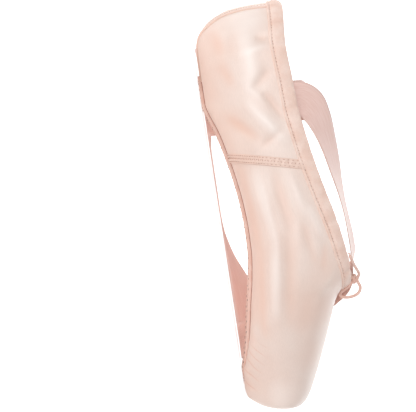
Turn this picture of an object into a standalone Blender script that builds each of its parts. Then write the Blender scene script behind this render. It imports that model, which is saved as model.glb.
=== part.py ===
"""Pointe shoe in satin, standing empty on its leather sole.

The toe points along +X, +Z is up and the shoe is alike on both sides of the XZ plane, so it fits
either foot. The origin is on the floor under the middle of the shoe.
"""
import math

import bmesh
import bpy
import numpy as np
from mathutils import Vector

# Driving sizes, in metres. LENGTH is over all, from the tab on the heel to the platform.
LENGTH = 0.234
BALL_WIDTH = 0.0812
INSTEP_HEIGHT = 0.0701
HEEL_HEIGHT = 0.0545
ARCH_RISE = 0.0138
CREST_HEIGHT = 0.0865
PLATFORM_LEAN = 0.155
LEAN_PIVOT_HEIGHT = 0.0198

# Walls and layers
UPPER_WALL = 0.0020
BOX_WALL = 0.0030
FLANGE = 0.0015
SOLE_THICKNESS = 0.0024
SOLE_CHAMFER = 0.0006
INSOLE_THICKNESS = 0.0015
INSOLE_GAP = 0.0008
SEAM_BAND_RISE = 0.0006
SEAM_BAND_WIDTH = 0.0054
TAB_THICKNESS = 0.0010
TAB_WIDTH = 0.0210
BINDING_OUTSIDE = 0.0012
BINDING_INSIDE = 0.0011
BINDING_EDGE = 0.0010
BINDING_DEPTH = 0.0092
CLEARANCE = 0.0003

# Shares of the length between which the wall thickens into the stiffened box
BOX_START = 0.66
BOX_FULL = 0.82

# Outsole and the opening that it closes. The tab's foot runs on under the outsole's heel end, and
# cutters reach past what they cut by CUT_DEPTH.
SOLE_HEEL_SETBACK = 0.0350
SOLE_LENGTH = 0.1825
SOLE_WIDTH = 0.0566
LASTING_MARGIN = 0.0065
TAB_UNDER_SOLE = 0.0080
CUT_DEPTH = 0.0030

# Ribbons and drawstring
RIBBON_WIDTH = 0.0200
RIBBON_THICKNESS = 0.0005
DRAWSTRING_DIAMETER = 0.0016
KNOT_LENGTH = 0.0046
KNOT_WIDTH = 0.0036

# Section table of the last. "along" is a share of its length from the back of the heel, widths are shares
# of BALL_WIDTH, "under" is the height above the sole line and "widest" the height of the widest place,
# both as shares of INSTEP_HEIGHT, and "crest" is a share of CREST_HEIGHT. Behind the throat the crest
# stands above the collar and is cut away. "fullness" is the power of the curve over the instep, and
# "lean" the share of the platform's lean that the section has.
SECTION_COLUMNS = ("along", "half_width", "flat", "under", "widest", "crest", "fullness", "lean")
SECTIONS = (
    (0.000, 0.046, 0.004, 0.414, 0.570, 0.592, 2.60, 0.0),
    (0.003, 0.080, 0.006, 0.330, 0.545, 0.612, 2.60, 0.0),
    (0.010, 0.130, 0.010, 0.262, 0.500, 0.655, 2.50, 0.0),
    (0.020, 0.178, 0.020, 0.190, 0.450, 0.725, 2.40, 0.0),
    (0.036, 0.228, 0.050, 0.126, 0.405, 0.790, 2.25, 0.0),
    (0.060, 0.280, 0.105, 0.063, 0.365, 0.845, 2.10, 0.0),
    (0.090, 0.322, 0.155, 0.038, 0.340, 0.885, 1.95, 0.0),
    (0.135, 0.364, 0.200, 0.032, 0.330, 0.925, 1.85, 0.0),
    (0.200, 0.388, 0.235, 0.030, 0.340, 0.950, 1.76, 0.0),
    (0.300, 0.409, 0.252, 0.030, 0.375, 0.975, 1.70, 0.0),
    (0.420, 0.425, 0.234, 0.030, 0.415, 0.995, 1.70, 0.0),
    (0.530, 0.450, 0.252, 0.030, 0.425, 1.000, 1.68, 0.0),
    (0.610, 0.480, 0.305, 0.030, 0.415, 0.980, 1.65, 0.0),
    (0.670, 0.494, 0.345, 0.030, 0.395, 0.905, 1.65, 0.0),
    (0.711, 0.499, 0.364, 0.030, 0.380, 0.808, 1.75, 0.0),
    (0.732, 0.500, 0.370, 0.030, 0.372, 0.735, 1.85, 0.0),
    (0.752, 0.499, 0.370, 0.030, 0.362, 0.694, 1.95, 0.0),
    (0.790, 0.486, 0.358, 0.029, 0.348, 0.650, 2.00, 0.0),
    (0.861, 0.436, 0.308, 0.022, 0.320, 0.570, 2.05, 0.0),
    (0.906, 0.402, 0.262, 0.012, 0.300, 0.514, 2.10, 0.1),
    (0.938, 0.378, 0.225, 0.007, 0.287, 0.470, 2.15, 0.3),
    (0.962, 0.360, 0.190, 0.018, 0.280, 0.430, 2.25, 0.7),
    (0.979, 0.342, 0.165, 0.058, 0.280, 0.393, 2.40, 1.0),
    (0.988, 0.324, 0.150, 0.105, 0.282, 0.366, 2.50, 1.0),
    (0.9925, 0.303, 0.140, 0.140, 0.283, 0.343, 2.55, 1.0),
    (0.9952, 0.275, 0.125, 0.176, 0.283, 0.315, 2.60, 1.0),
)

# Height of the sole line as a share of ARCH_RISE, flat under the heel and under the toe
SOLE_LINE_COLUMNS = ("along", "rise")
SOLE_LINE = (
    (0.000, 0.00),
    (0.229, 0.00),
    (0.255, 0.11),
    (0.300, 0.38),
    (0.360, 0.62),
    (0.420, 0.81),
    (0.480, 0.94),
    (0.545, 1.00),
    (0.600, 0.98),
    (0.660, 0.85),
    (0.735, 0.60),
    (0.812, 0.35),
    (0.860, 0.15),
    (0.893, 0.00),
    (1.000, 0.00),
)

# Height of the collar, as a share of the way up from HEEL_HEIGHT to INSTEP_HEIGHT
COLLAR_COLUMNS = ("along", "rise")
COLLAR = (
    (-0.100, 0.06),
    (0.000, 0.02),
    (0.045, -0.04),
    (0.120, -0.13),
    (0.200, -0.07),
    (0.270, -0.03),
    (0.330, 0.08),
    (0.385, 0.21),
    (0.445, 0.38),
    (0.510, 0.60),
    (0.570, 0.79),
    (0.630, 0.92),
    (0.675, 1.00),
    (0.711, 1.00),
    (0.800, 1.03),
)

# Outline of the outsole: "along" is a share of SOLE_LENGTH from its heel end, "half_width" of SOLE_WIDTH
OUTLINE_COLUMNS = ("along", "half_width")
OUTLINE = (
    (0.000, 0.050),
    (0.006, 0.102),
    (0.018, 0.165),
    (0.040, 0.234),
    (0.080, 0.305),
    (0.140, 0.341),
    (0.220, 0.333),
    (0.310, 0.303),
    (0.410, 0.279),
    (0.510, 0.309),
    (0.600, 0.397),
    (0.670, 0.463),
    (0.760, 0.500),
    (0.860, 0.452),
    (0.930, 0.371),
    (0.965, 0.300),
    (0.985, 0.214),
    (0.995, 0.135),
    (1.000, 0.060),
)

# Side seam: the two ends of its toe edge, as shares of the length and heights in metres
SEAM_FOOT_ALONG = 0.379
SEAM_TOP_ALONG = 0.4235
SEAM_FOOT_HEIGHT = 0.0116
SEAM_TOP_HEIGHT = 0.0505

# Routes of the ribbons, each from the end sewn inside its quarter: x, y and z in metres, then x, y
# and z of the direction across the ribbon, which the build squares to the route. The right one
# arches forward out of the shoe, over the throat and down the left side of the vamp. The left one
# falls over the left quarter.
RIBBON_RIGHT_ROUTE = (
    (-0.0510, -0.0270, 0.0400, 1.00, 0.00, 0.00),
    (-0.0510, -0.0244, 0.0455, 1.00, 0.00, 0.00),
    (-0.0510, -0.0222, 0.0530, 1.00, 0.00, 0.00),
    (-0.0500, -0.0203, 0.0600, 1.00, 0.00, -0.10),
    (-0.0472, -0.0183, 0.0675, 0.92, 0.10, -0.35),
    (-0.0412, -0.0158, 0.0732, 0.68, 0.35, -0.62),
    (-0.0318, -0.0125, 0.0755, 0.38, 0.60, -0.68),
    (-0.0200, -0.0090, 0.0747, 0.15, 0.78, -0.55),
    (-0.0070, -0.0050, 0.0722, -0.02, 0.88, -0.42),
    (0.0070, -0.0008, 0.0703, -0.15, 0.92, -0.30),
    (0.0205, 0.0035, 0.0703, -0.32, 0.92, -0.16),
    (0.0325, 0.0085, 0.0717, -0.52, 0.85, -0.04),
    (0.0428, 0.0146, 0.0722, -0.66, 0.75, 0.00),
    (0.0495, 0.0205, 0.0660, -0.72, 0.66, -0.10),
    (0.0560, 0.0262, 0.0567, -0.75, 0.58, -0.25),
    (0.0618, 0.0318, 0.0480, -0.80, 0.48, -0.30),
    (0.0665, 0.0365, 0.0390, -0.87, 0.35, -0.30),
    (0.0705, 0.0402, 0.0300, -0.95, 0.20, -0.15),
    (0.0732, 0.0414, 0.0210, -1.00, 0.10, -0.05),
    (0.0750, 0.0426, 0.0125, -1.00, 0.05, 0.00),
    (0.0767, 0.0450, 0.0060, -1.00, 0.00, 0.00),
    (0.0785, 0.0505, 0.0020, -1.00, 0.00, 0.00),
    (0.0802, 0.0590, 0.0013, -1.00, 0.00, 0.05),
    (0.0802, 0.0690, 0.0028, -0.96, -0.10, 0.20),
    (0.0765, 0.0800, 0.0060, -0.78, -0.39, 0.50),
    (0.0670, 0.0890, 0.0087, -0.33, -0.56, 0.75),
    (0.0540, 0.0930, 0.0087, -0.06, -0.66, 0.75),
    (0.0400, 0.0920, 0.0062, 0.12, -0.85, 0.50),
    (0.0230, 0.0885, 0.0030, 0.20, -0.96, 0.18),
    (0.0050, 0.0850, 0.0012, 0.15, -0.98, 0.00),
    (-0.0150, 0.0840, 0.0010, -0.05, -1.00, 0.00),
    (-0.0350, 0.0880, 0.0010, -0.25, -0.97, 0.00),
    (-0.0530, 0.0960, 0.0010, -0.42, -0.90, 0.00),
)
RIBBON_LEFT_ROUTE = (
    (-0.0510, 0.0270, 0.0400, 1.00, 0.00, 0.00),
    (-0.0510, 0.0244, 0.0455, 1.00, 0.00, 0.00),
    (-0.0510, 0.0222, 0.0530, 1.00, 0.00, 0.00),
    (-0.0505, 0.0212, 0.0600, 1.00, 0.00, 0.00),
    (-0.0500, 0.0228, 0.0660, 1.00, 0.00, 0.00),
    (-0.0490, 0.0268, 0.0690, 1.00, 0.00, 0.00),
    (-0.0480, 0.0314, 0.0672, 1.00, 0.00, 0.00),
    (-0.0475, 0.0338, 0.0610, 1.00, 0.00, 0.00),
    (-0.0470, 0.0346, 0.0530, 1.00, 0.00, 0.00),
    (-0.0465, 0.0347, 0.0420, 1.00, 0.00, 0.00),
    (-0.0460, 0.0348, 0.0300, 1.00, 0.00, 0.00),
    (-0.0460, 0.0354, 0.0180, 1.00, 0.00, 0.00),
    (-0.0460, 0.0378, 0.0080, 1.00, 0.00, 0.00),
    (-0.0470, 0.0430, 0.0024, 1.00, 0.05, 0.00),
    (-0.0498, 0.0510, 0.0012, 0.95, 0.30, 0.00),
    (-0.0570, 0.0610, 0.0014, 0.80, 0.60, 0.05),
    (-0.0710, 0.0715, 0.0032, 0.55, 0.82, 0.20),
    (-0.0865, 0.0820, 0.0066, 0.45, 0.70, 0.55),
    (-0.0975, 0.0955, 0.0090, 0.54, 0.27, 0.80),
    (-0.1000, 0.1110, 0.0096, 0.45, -0.05, 0.89),
    (-0.0930, 0.1255, 0.0090, 0.45, -0.39, 0.80),
    (-0.0780, 0.1335, 0.0062, 0.30, -0.81, 0.50),
    (-0.0600, 0.1370, 0.0032, 0.05, -0.98, 0.20),
    (-0.0400, 0.1365, 0.0012, -0.08, -1.00, 0.00),
    (-0.0150, 0.1335, 0.0010, -0.12, -1.00, 0.00),
    (0.0100, 0.1305, 0.0010, -0.10, -1.00, 0.00),
    (0.0350, 0.1290, 0.0010, 0.00, -1.00, 0.00),
    (0.0600, 0.1310, 0.0010, 0.15, -0.99, 0.00),
    (0.0850, 0.1370, 0.0010, 0.30, -0.95, 0.00),
)

# Drawstring, in metres: the knot at the front of the collar, the loop and the free end
KNOT_PLACE = (0.0496, 0.0000, 0.0723)
DRAWSTRING_LOOP_ROUTE = (
    (0.0525, 0.0000, 0.0715),
    (0.0544, 0.0002, 0.0692),
    (0.0560, 0.0004, 0.0664),
    (0.0576, 0.0006, 0.0637),
    (0.0598, 0.0007, 0.0622),
    (0.0620, 0.0006, 0.0634),
    (0.0627, 0.0002, 0.0665),
    (0.0616, -0.0004, 0.0698),
    (0.0590, -0.0009, 0.0723),
    (0.0558, -0.0011, 0.0736),
    (0.0527, -0.0008, 0.0737),
)
DRAWSTRING_END_ROUTE = (
    (0.0488, -0.0017, 0.0745),
    (0.0470, -0.0046, 0.0757),
    (0.0442, -0.0088, 0.0750),
    (0.0408, -0.0136, 0.0732),
    (0.0372, -0.0180, 0.0717),
    (0.0338, -0.0206, 0.0709),
)

# Points round a half section: along the flat underside, round the feather edge, over the instep
FLAT_STEPS = 2
LOWER_STEPS = 4
UPPER_STEPS = 7

# Widest steps between sections of the last and of the outsole, as shares of their lengths, and
# numbers of steps along the insole and the collar, round the knot, and between the rows of a route
SECTION_SPACING = 0.055
OUTLINE_SPACING = 0.045
INSOLE_STEPS = 40
COLLAR_STEPS = 24
COLLAR_CUT_STEPS = 45
COLLAR_TUBE_RESOLUTION = 3
CORD_RESOLUTION = 2
KNOT_SEGMENTS = 12
KNOT_RINGS = 8
RIBBON_STEPS = 2
CORD_STEPS = 2


def column_value(table, columns, name, share):
    """Value of one table column at a share, on a smooth curve that does not overshoot the rows."""
    place = columns.index(name)
    x = np.array([row[0] for row in table])
    y = np.array([row[place] for row in table])
    share = min(max(share, x[0]), x[-1])
    step = np.diff(x)
    slope = np.diff(y) / step
    tangent = np.zeros(len(x))
    for i in range(1, len(x) - 1):
        if slope[i - 1] * slope[i] > 0:
            before = 2 * step[i] + step[i - 1]
            after = step[i] + 2 * step[i - 1]
            tangent[i] = (before + after) / (before / slope[i - 1] + after / slope[i])
    tangent[0] = slope[0]
    tangent[-1] = slope[-1]
    i = min(int(np.searchsorted(x, share, side="right")) - 1, len(step) - 1)
    t = (share - x[i]) / step[i]
    return float(
        y[i] * (1 + 2 * t) * (1 - t) ** 2
        + tangent[i] * step[i] * t * (1 - t) ** 2
        + y[i + 1] * t * t * (3 - 2 * t)
        + tangent[i + 1] * step[i] * t * t * (t - 1)
    )


def along_to_x(share):
    """Place along X of a share of the last, which ends where the tab on the heel begins."""
    last_length = LENGTH - TAB_THICKNESS - CLEARANCE
    return LENGTH / 2 - (1 - share) * last_length


def sole_height(share):
    return ARCH_RISE * column_value(SOLE_LINE, SOLE_LINE_COLUMNS, "rise", share)


def collar_height(share):
    rise = column_value(COLLAR, COLLAR_COLUMNS, "rise", share)
    return HEEL_HEIGHT + (INSTEP_HEIGHT - HEEL_HEIGHT) * rise


def section_sizes(share):
    """Sizes in metres of the section of the last at a share of its length."""
    def value(name):
        return column_value(SECTIONS, SECTION_COLUMNS, name, share)

    return {
        "half_width": value("half_width") * BALL_WIDTH,
        "flat": value("flat") * BALL_WIDTH,
        "under": sole_height(share) + value("under") * INSTEP_HEIGHT,
        "widest": value("widest") * INSTEP_HEIGHT,
        "crest": value("crest") * CREST_HEIGHT,
        "fullness": value("fullness"),
        "lean": value("lean") * PLATFORM_LEAN,
    }


def section_half(share):
    """Points (y, z) of half a section, from the middle of the underside to the crest."""
    size = section_sizes(share)
    points = []
    for i in range(FLAT_STEPS):
        points.append((size["flat"] * i / FLAT_STEPS, size["under"]))
    for i in range(LOWER_STEPS):
        angle = math.pi / 2 * i / LOWER_STEPS
        out = size["flat"] + (size["half_width"] - size["flat"]) * math.sin(angle)
        up = size["widest"] - (size["widest"] - size["under"]) * math.cos(angle)
        points.append((out, up))
    power = 2 / size["fullness"]
    for i in range(UPPER_STEPS + 1):
        angle = math.pi / 2 * i / UPPER_STEPS
        out = size["half_width"] * max(math.cos(angle), 0.0) ** power
        up = size["widest"] + (size["crest"] - size["widest"]) * math.sin(angle) ** power
        points.append((out if i < UPPER_STEPS else 0.0, up))
    return points


def box_share(share):
    """0 at the quarters, 1 at the stiffened box of the toe."""
    t = min(max((share - BOX_START) / (BOX_FULL - BOX_START), 0.0), 1.0)
    return t * t * (3 - 2 * t)


def wall_at(share):
    return UPPER_WALL + (BOX_WALL - UPPER_WALL) * box_share(share)


def new_object(name, mesh, collection):
    obj = bpy.data.objects.new(name, mesh)
    collection.objects.link(obj)
    return obj


def mesh_from_bmesh(name, bm):
    mesh = bpy.data.meshes.new(name)
    bm.to_mesh(mesh)
    bm.free()
    return mesh


def loft(rings):
    """Closed bmesh through closed rings of equally many points, with flat ends."""
    bm = bmesh.new()
    loops = [[bm.verts.new(point) for point in ring] for ring in rings]
    count = len(rings[0])
    for first, second in zip(loops, loops[1:]):
        for i in range(count):
            j = (i + 1) % count
            bm.faces.new((first[i], first[j], second[j], second[i]))
    bm.faces.new(list(reversed(loops[0])))
    bm.faces.new(loops[-1])
    bmesh.ops.recalc_face_normals(bm, faces=bm.faces)
    return bm


def table_shares(table, spacing):
    """Shares of a table's rows, with more between rows that lie farther apart than the spacing."""
    rows = [row[0] for row in table]
    shares = []
    for first, second in zip(rows, rows[1:]):
        pieces = 1 + int((second - first) / spacing)
        shares += [first + (second - first) * i / pieces for i in range(pieces)]
    return shares + [rows[-1]]


def last_form(name, collection, outset=0.0, walls=0.0, floor=None):
    """Solid of the last, outset from the satin's face, or inset by a number of walls of the upper.

    With floor, the underside lies no lower than that height above the sole line.
    """
    rings = []
    ring_shares = []
    for share in table_shares(SECTIONS, SECTION_SPACING):
        half = section_half(share)
        whole = half + [(-y, z) for y, z in reversed(half[1:-1])]
        lean = section_sizes(share)["lean"]
        x = along_to_x(share)
        rings.append([(x + lean * (z - LEAN_PIVOT_HEIGHT), y, z) for y, z in whole])
        ring_shares += [share] * len(whole)
    bm = loft(rings)
    bm.normal_update()
    bm.verts.ensure_lookup_table()
    moved = []
    for vert, share in zip(bm.verts, ring_shares):
        distance = outset - walls * wall_at(share)
        moved.append(vert.co + vert.normal * distance * vert.calc_shell_factor())
    for vert, place, share in zip(bm.verts, moved, ring_shares):
        vert.co = place
        if floor is not None:
            vert.co.z = max(vert.co.z, sole_height(share) + floor)
    bmesh.ops.triangulate(bm, faces=bm.faces, quad_method="FIXED")
    return new_object(name, mesh_from_bmesh(name, bm), collection)


def collar_cutter(name, collection, drop=0.0):
    """Everything above the collar line, lowered by drop, from behind the heel to the throat."""
    top = 2 * CREST_HEIGHT
    first = COLLAR[0][0]
    last = COLLAR[-1][0]
    shares = [first + (last - first) * i / COLLAR_CUT_STEPS for i in range(COLLAR_CUT_STEPS + 1)]
    line = [(along_to_x(s), collar_height(s) - drop) for s in shares]
    outline = line + [(line[-1][0], top), (line[0][0], top)]
    rings = [[(x, y, z) for x, z in outline] for y in (-BALL_WIDTH, BALL_WIDTH)]
    return new_object(name, mesh_from_bmesh(name, loft(rings)), collection)


def collar_half_width(share):
    """Half width of the opening, where the last crosses the collar line, or 0 past its ends."""
    size = section_sizes(share)
    height = (collar_height(share) - size["widest"]) / (size["crest"] - size["widest"])
    if height >= 1:
        return 0.0
    return size["half_width"] * (1 - height ** size["fullness"]) ** (1 / size["fullness"])


def collar_end(inside, outside):
    """Share of the length at which the opening ends, between one inside it and one outside it."""
    for _ in range(40):
        middle = (inside + outside) / 2
        if collar_half_width(middle) > 0:
            inside = middle
        else:
            outside = middle
    return inside


def collar_points():
    """Closed loop of points round the edge of the collar."""
    back = collar_end(inside=0.1, outside=0.0)
    front = collar_end(inside=0.6, outside=0.8)
    side = []
    for i in range(COLLAR_STEPS + 1):
        angle = math.pi * i / COLLAR_STEPS
        share = (back + front) / 2 - (front - back) / 2 * math.cos(angle)
        out = collar_half_width(share) if 0 < i < COLLAR_STEPS else 0.0
        side.append(Vector((along_to_x(share), out, collar_height(share))))
    return side + [Vector((p.x, -p.y, p.z)) for p in reversed(side[1:-1])]


def poly_curve(name, points, radius, collection, cyclic=False, resolution=CORD_RESOLUTION):
    curve = bpy.data.curves.new(name, "CURVE")
    curve.dimensions = "3D"
    curve.bevel_depth = radius
    curve.bevel_resolution = resolution
    curve.use_fill_caps = not cyclic
    spline = curve.splines.new("POLY")
    spline.points.add(len(points) - 1)
    for target, point in zip(spline.points, points):
        target.co = (*point, 1.0)
    spline.use_cyclic_u = cyclic
    return new_object(name, curve, collection)


def curve_to_mesh(curve_object, collection):
    """Mesh object in the place of a curve object, with the caps welded."""
    name = curve_object.name
    graph = bpy.context.evaluated_depsgraph_get()
    mesh = bpy.data.meshes.new_from_object(curve_object.evaluated_get(graph))
    bm = bmesh.new()
    bm.from_mesh(mesh)
    bmesh.ops.remove_doubles(bm, verts=bm.verts, dist=0.00001)
    bmesh.ops.recalc_face_normals(bm, faces=bm.faces)
    bm.to_mesh(mesh)
    bm.free()
    place = curve_object.matrix_world.copy()
    bpy.data.objects.remove(curve_object)
    result = new_object(name, mesh, collection)
    result.matrix_world = place
    return result


def collar_tube(name, collection, radius):
    """Tube round the collar's edge, which bounds what lies within a distance of that edge."""
    points = collar_points()
    tube = poly_curve(name, points, radius, collection, True, COLLAR_TUBE_RESOLUTION)
    return curve_to_mesh(tube, collection)


def boolean(target, other, operation):
    modifier = target.modifiers.new(f"{operation.lower()} {other.name}", "BOOLEAN")
    modifier.object = other
    modifier.operation = operation
    modifier.solver = "EXACT"


def sole_slab(name, collection, inset, low, high, chamfer=0.0):
    """Plate with the outsole's outline, inset, between two heights above the sole line."""
    rings = []
    for step in table_shares(OUTLINE, OUTLINE_SPACING):
        centred = (SOLE_LENGTH - 2 * inset) * (step - 0.5)
        x = along_to_x(0.0) + SOLE_HEEL_SETBACK + SOLE_LENGTH / 2 + centred
        share = (x - along_to_x(0.0)) / (along_to_x(1.0) - along_to_x(0.0))
        full = SOLE_WIDTH * column_value(OUTLINE, OUTLINE_COLUMNS, "half_width", step)
        out = full * (1 - 2 * inset / SOLE_WIDTH) if inset > 0 else full - inset
        base = sole_height(share)
        half = [(out - chamfer, base + low), (out, base + low + chamfer), (out, base + high)]
        if chamfer == 0:
            half = [(out, base + low), (out, base + high)]
        rings.append([(x, y, z) for y, z in half] + [(x, -y, z) for y, z in reversed(half)])
    return new_object(name, mesh_from_bmesh(name, loft(rings)), collection)


def insole_plate(name, collection, low, high):
    """Plate that follows the sole line from end to end, wider than the shoe."""
    rings = []
    for i in range(INSOLE_STEPS + 1):
        share = i / INSOLE_STEPS
        base = sole_height(share)
        x = along_to_x(share)
        rings.append([
            (x, -BALL_WIDTH, base + low),
            (x, BALL_WIDTH, base + low),
            (x, BALL_WIDTH, base + high),
            (x, -BALL_WIDTH, base + high),
        ])
    return new_object(name, mesh_from_bmesh(name, loft(rings)), collection)


def box(name, collection, low, high):
    bm = bmesh.new()
    bmesh.ops.create_cube(bm, size=1.0)
    for vert in bm.verts:
        for axis in range(3):
            vert.co[axis] = low[axis] if vert.co[axis] < 0 else high[axis]
    return new_object(name, mesh_from_bmesh(name, bm), collection)


def seam_slab(name, collection):
    """Leaning slab that bounds the side seam, as wide as the whole shoe."""
    foot = Vector((along_to_x(SEAM_FOOT_ALONG), 0, SEAM_FOOT_HEIGHT))
    top = Vector((along_to_x(SEAM_TOP_ALONG), 0, SEAM_TOP_HEIGHT))
    up = (top - foot).normalized()
    back = Vector((-up.z, 0, up.x)) * SEAM_BAND_WIDTH
    low = foot - up * INSTEP_HEIGHT
    high = top + up * INSTEP_HEIGHT
    ring = [low, high, high + back, low + back]
    rings = [[(p.x, y, p.z) for p in ring] for y in (-BALL_WIDTH, BALL_WIDTH)]
    return new_object(name, mesh_from_bmesh(name, loft(rings)), collection)


def smooth_route(rows, steps):
    """Rows of a route on a smooth curve through the given rows, with steps between each pair."""
    rows = [np.array(row) for row in rows]
    rows = [2 * rows[0] - rows[1]] + rows + [2 * rows[-1] - rows[-2]]
    result = []
    for before, first, second, after in zip(rows, rows[1:], rows[2:], rows[3:]):
        for i in range(steps):
            t = i / steps
            result.append(0.5 * (
                2 * first
                + (second - before) * t
                + (2 * before - 5 * first + 4 * second - after) * t ** 2
                + (3 * first - before - 3 * second + after) * t ** 3
            ))
    return result + [rows[-2]]


def ribbon_strip(name, route, collection):
    """Flat strip along a route, with its width square to the route."""
    rows = smooth_route(route, RIBBON_STEPS)
    places = [Vector(row[:3]) for row in rows]
    bm = bmesh.new()
    edges = []
    for i, row in enumerate(rows):
        ahead = (places[min(i + 1, len(rows) - 1)] - places[max(i - 1, 0)]).normalized()
        across = Vector(row[3:])
        across = (across - across.dot(ahead) * ahead).normalized() * RIBBON_WIDTH / 2
        edges.append((bm.verts.new(places[i] - across), bm.verts.new(places[i] + across)))
    for first, second in zip(edges, edges[1:]):
        bm.faces.new((first[0], first[1], second[1], second[0]))
    ribbon = new_object(name, mesh_from_bmesh(name, bm), collection)
    solidify = ribbon.modifiers.new("thickness", "SOLIDIFY")
    solidify.thickness = RIBBON_THICKNESS
    solidify.offset = 0.0
    return ribbon


def material(name, colour, roughness):
    finish = bpy.data.materials.new(name)
    finish.use_nodes = True
    shader = finish.node_tree.nodes["Principled BSDF"]
    shader.inputs["Base Color"].default_value = (*colour, 1.0)
    shader.inputs["Roughness"].default_value = roughness
    shader.inputs["Metallic"].default_value = 0.0
    return finish


def finish_piece(obj, finish):
    obj.data.materials.append(finish)
    if obj.type == "MESH":
        obj.data.shade_smooth()
        obj.data.set_sharp_from_angle(angle=math.radians(35))


def make_upper(parts, cutters):
    """Satin over canvas: one hollow wall, raised along the side seams."""
    upper = last_form("upper", parts)
    seams = last_form("seam_form", cutters, outset=SEAM_BAND_RISE)
    boolean(seams, seam_slab("seam_slab", cutters), "INTERSECT")
    boolean(seams, bpy.data.objects["binding_room"], "DIFFERENCE")
    boolean(upper, seams, "UNION")
    inner_floor = SOLE_THICKNESS + CLEARANCE + FLANGE
    inner = last_form("inner_form", cutters, walls=1.0, floor=inner_floor)
    boolean(upper, inner, "DIFFERENCE")
    boolean(upper, collar_cutter("collar_cutter", cutters, drop=BINDING_EDGE), "DIFFERENCE")
    boolean(upper, bpy.data.objects["sole_room"], "DIFFERENCE")
    opening_top = inner_floor + CUT_DEPTH
    opening = sole_slab("sole_opening", cutters, LASTING_MARGIN, -CUT_DEPTH, opening_top)
    boolean(upper, opening, "DIFFERENCE")
    finish_piece(upper, material("satin", (0.88, 0.75, 0.68), 0.35))


def make_binding(parts, cutters):
    """Cotton casing folded over the collar's edge, with the upper's edge inside it."""
    binding = last_form("collar_binding", parts, outset=BINDING_OUTSIDE)
    inside = last_form("binding_inside", cutters, outset=-BINDING_INSIDE, walls=1.0)
    boolean(binding, inside, "DIFFERENCE")
    boolean(binding, collar_tube("binding_reach", cutters, BINDING_DEPTH), "INTERSECT")
    boolean(binding, collar_cutter("binding_top", cutters), "DIFFERENCE")
    slot = last_form("binding_slot", cutters, outset=CLEARANCE)
    slot_inside = last_form("slot_inside", cutters, outset=-CLEARANCE, walls=1.0)
    boolean(slot, slot_inside, "DIFFERENCE")
    slot_top = collar_cutter("slot_top", cutters, drop=BINDING_EDGE - CLEARANCE)
    boolean(slot, slot_top, "DIFFERENCE")
    boolean(binding, slot, "DIFFERENCE")
    finish_piece(binding, material("cotton_casing", (0.86, 0.65, 0.56), 0.75))


def make_back_tab(parts, cutters):
    """Strip sewn down the back of the heel, from the binding to the outsole."""
    tab = last_form("back_tab", parts, outset=CLEARANCE + TAB_THICKNESS)
    boolean(tab, last_form("tab_inside", cutters, outset=CLEARANCE), "DIFFERENCE")
    low = (-LENGTH, -TAB_WIDTH / 2, -CUT_DEPTH)
    high = (along_to_x(0.0) + SOLE_HEEL_SETBACK + TAB_UNDER_SOLE, TAB_WIDTH / 2, HEEL_HEIGHT)
    boolean(tab, box("tab_strip", cutters, low, high), "INTERSECT")
    boolean(tab, bpy.data.objects["binding_room"], "DIFFERENCE")
    boolean(tab, bpy.data.objects["sole_room"], "DIFFERENCE")
    finish_piece(tab, material("satin_tab", (0.86, 0.72, 0.65), 0.4))


def make_outsole(parts):
    """Leather outsole, arched as the shoe is, with its lower edge chamfered."""
    outsole = sole_slab("outsole", parts, 0.0, 0.0, SOLE_THICKNESS, SOLE_CHAMFER)
    finish_piece(outsole, material("sole_leather", (0.90, 0.66, 0.55), 0.7))


def make_insole(parts, cutters):
    """Insole board on the lasted flange, out to the inner wall."""
    low = SOLE_THICKNESS + FLANGE + 2 * CLEARANCE
    insole = insole_plate("insole", parts, low, low + INSOLE_THICKNESS)
    inside = last_form("insole_edge", cutters, outset=-INSOLE_GAP, walls=1.0, floor=low - CLEARANCE)
    boolean(insole, inside, "INTERSECT")
    finish_piece(insole, material("insole_lining", (0.85, 0.76, 0.66), 0.85))


def make_ribbons(parts):
    """Satin ribbons, each sewn inside its quarter below the binding."""
    finish = material("satin_ribbon", (0.86, 0.62, 0.54), 0.4)
    routes = (("ribbon_right", RIBBON_RIGHT_ROUTE), ("ribbon_left", RIBBON_LEFT_ROUTE))
    for name, route in routes:
        finish_piece(ribbon_strip(name, route, parts), finish)


def make_drawstring(parts):
    """Cotton drawstring of the collar, knotted at the throat, with a loop and a free end."""
    finish = material("cotton_cord", (0.82, 0.60, 0.50), 0.8)
    bm = bmesh.new()
    bmesh.ops.create_uvsphere(bm, u_segments=KNOT_SEGMENTS, v_segments=KNOT_RINGS, radius=0.5)
    bmesh.ops.scale(bm, vec=(KNOT_LENGTH, KNOT_WIDTH, KNOT_WIDTH), verts=bm.verts)
    bmesh.ops.translate(bm, vec=KNOT_PLACE, verts=bm.verts)
    knot = new_object("drawstring_knot", mesh_from_bmesh("drawstring_knot", bm), parts)
    finish_piece(knot, finish)
    routes = (("drawstring_loop", DRAWSTRING_LOOP_ROUTE), ("drawstring_end", DRAWSTRING_END_ROUTE))
    for name, route in routes:
        cord = poly_curve(name, smooth_route(route, CORD_STEPS), DRAWSTRING_DIAMETER / 2, parts)
        finish_piece(cord, finish)


def build():
    for obj in list(bpy.data.objects):
        bpy.data.objects.remove(obj)
    parts = bpy.data.collections.new("pointe_shoe")
    cutters = bpy.data.collections.new("cutters")
    for collection in (parts, cutters):
        bpy.context.scene.collection.children.link(collection)
    collar_tube("binding_room", cutters, BINDING_DEPTH + CLEARANCE)
    sole_slab("sole_room", cutters, -CLEARANCE, -CUT_DEPTH, SOLE_THICKNESS + CLEARANCE)
    make_upper(parts, cutters)
    make_binding(parts, cutters)
    make_back_tab(parts, cutters)
    make_outsole(parts)
    make_insole(parts, cutters)
    make_ribbons(parts)
    make_drawstring(parts)
    for cutter in cutters.objects:
        cutter.hide_render = True
        cutter.display_type = "WIRE"


build()
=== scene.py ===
"""Looks of a satin pointe shoe, standing empty on its sole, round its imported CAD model."""
import math

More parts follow.
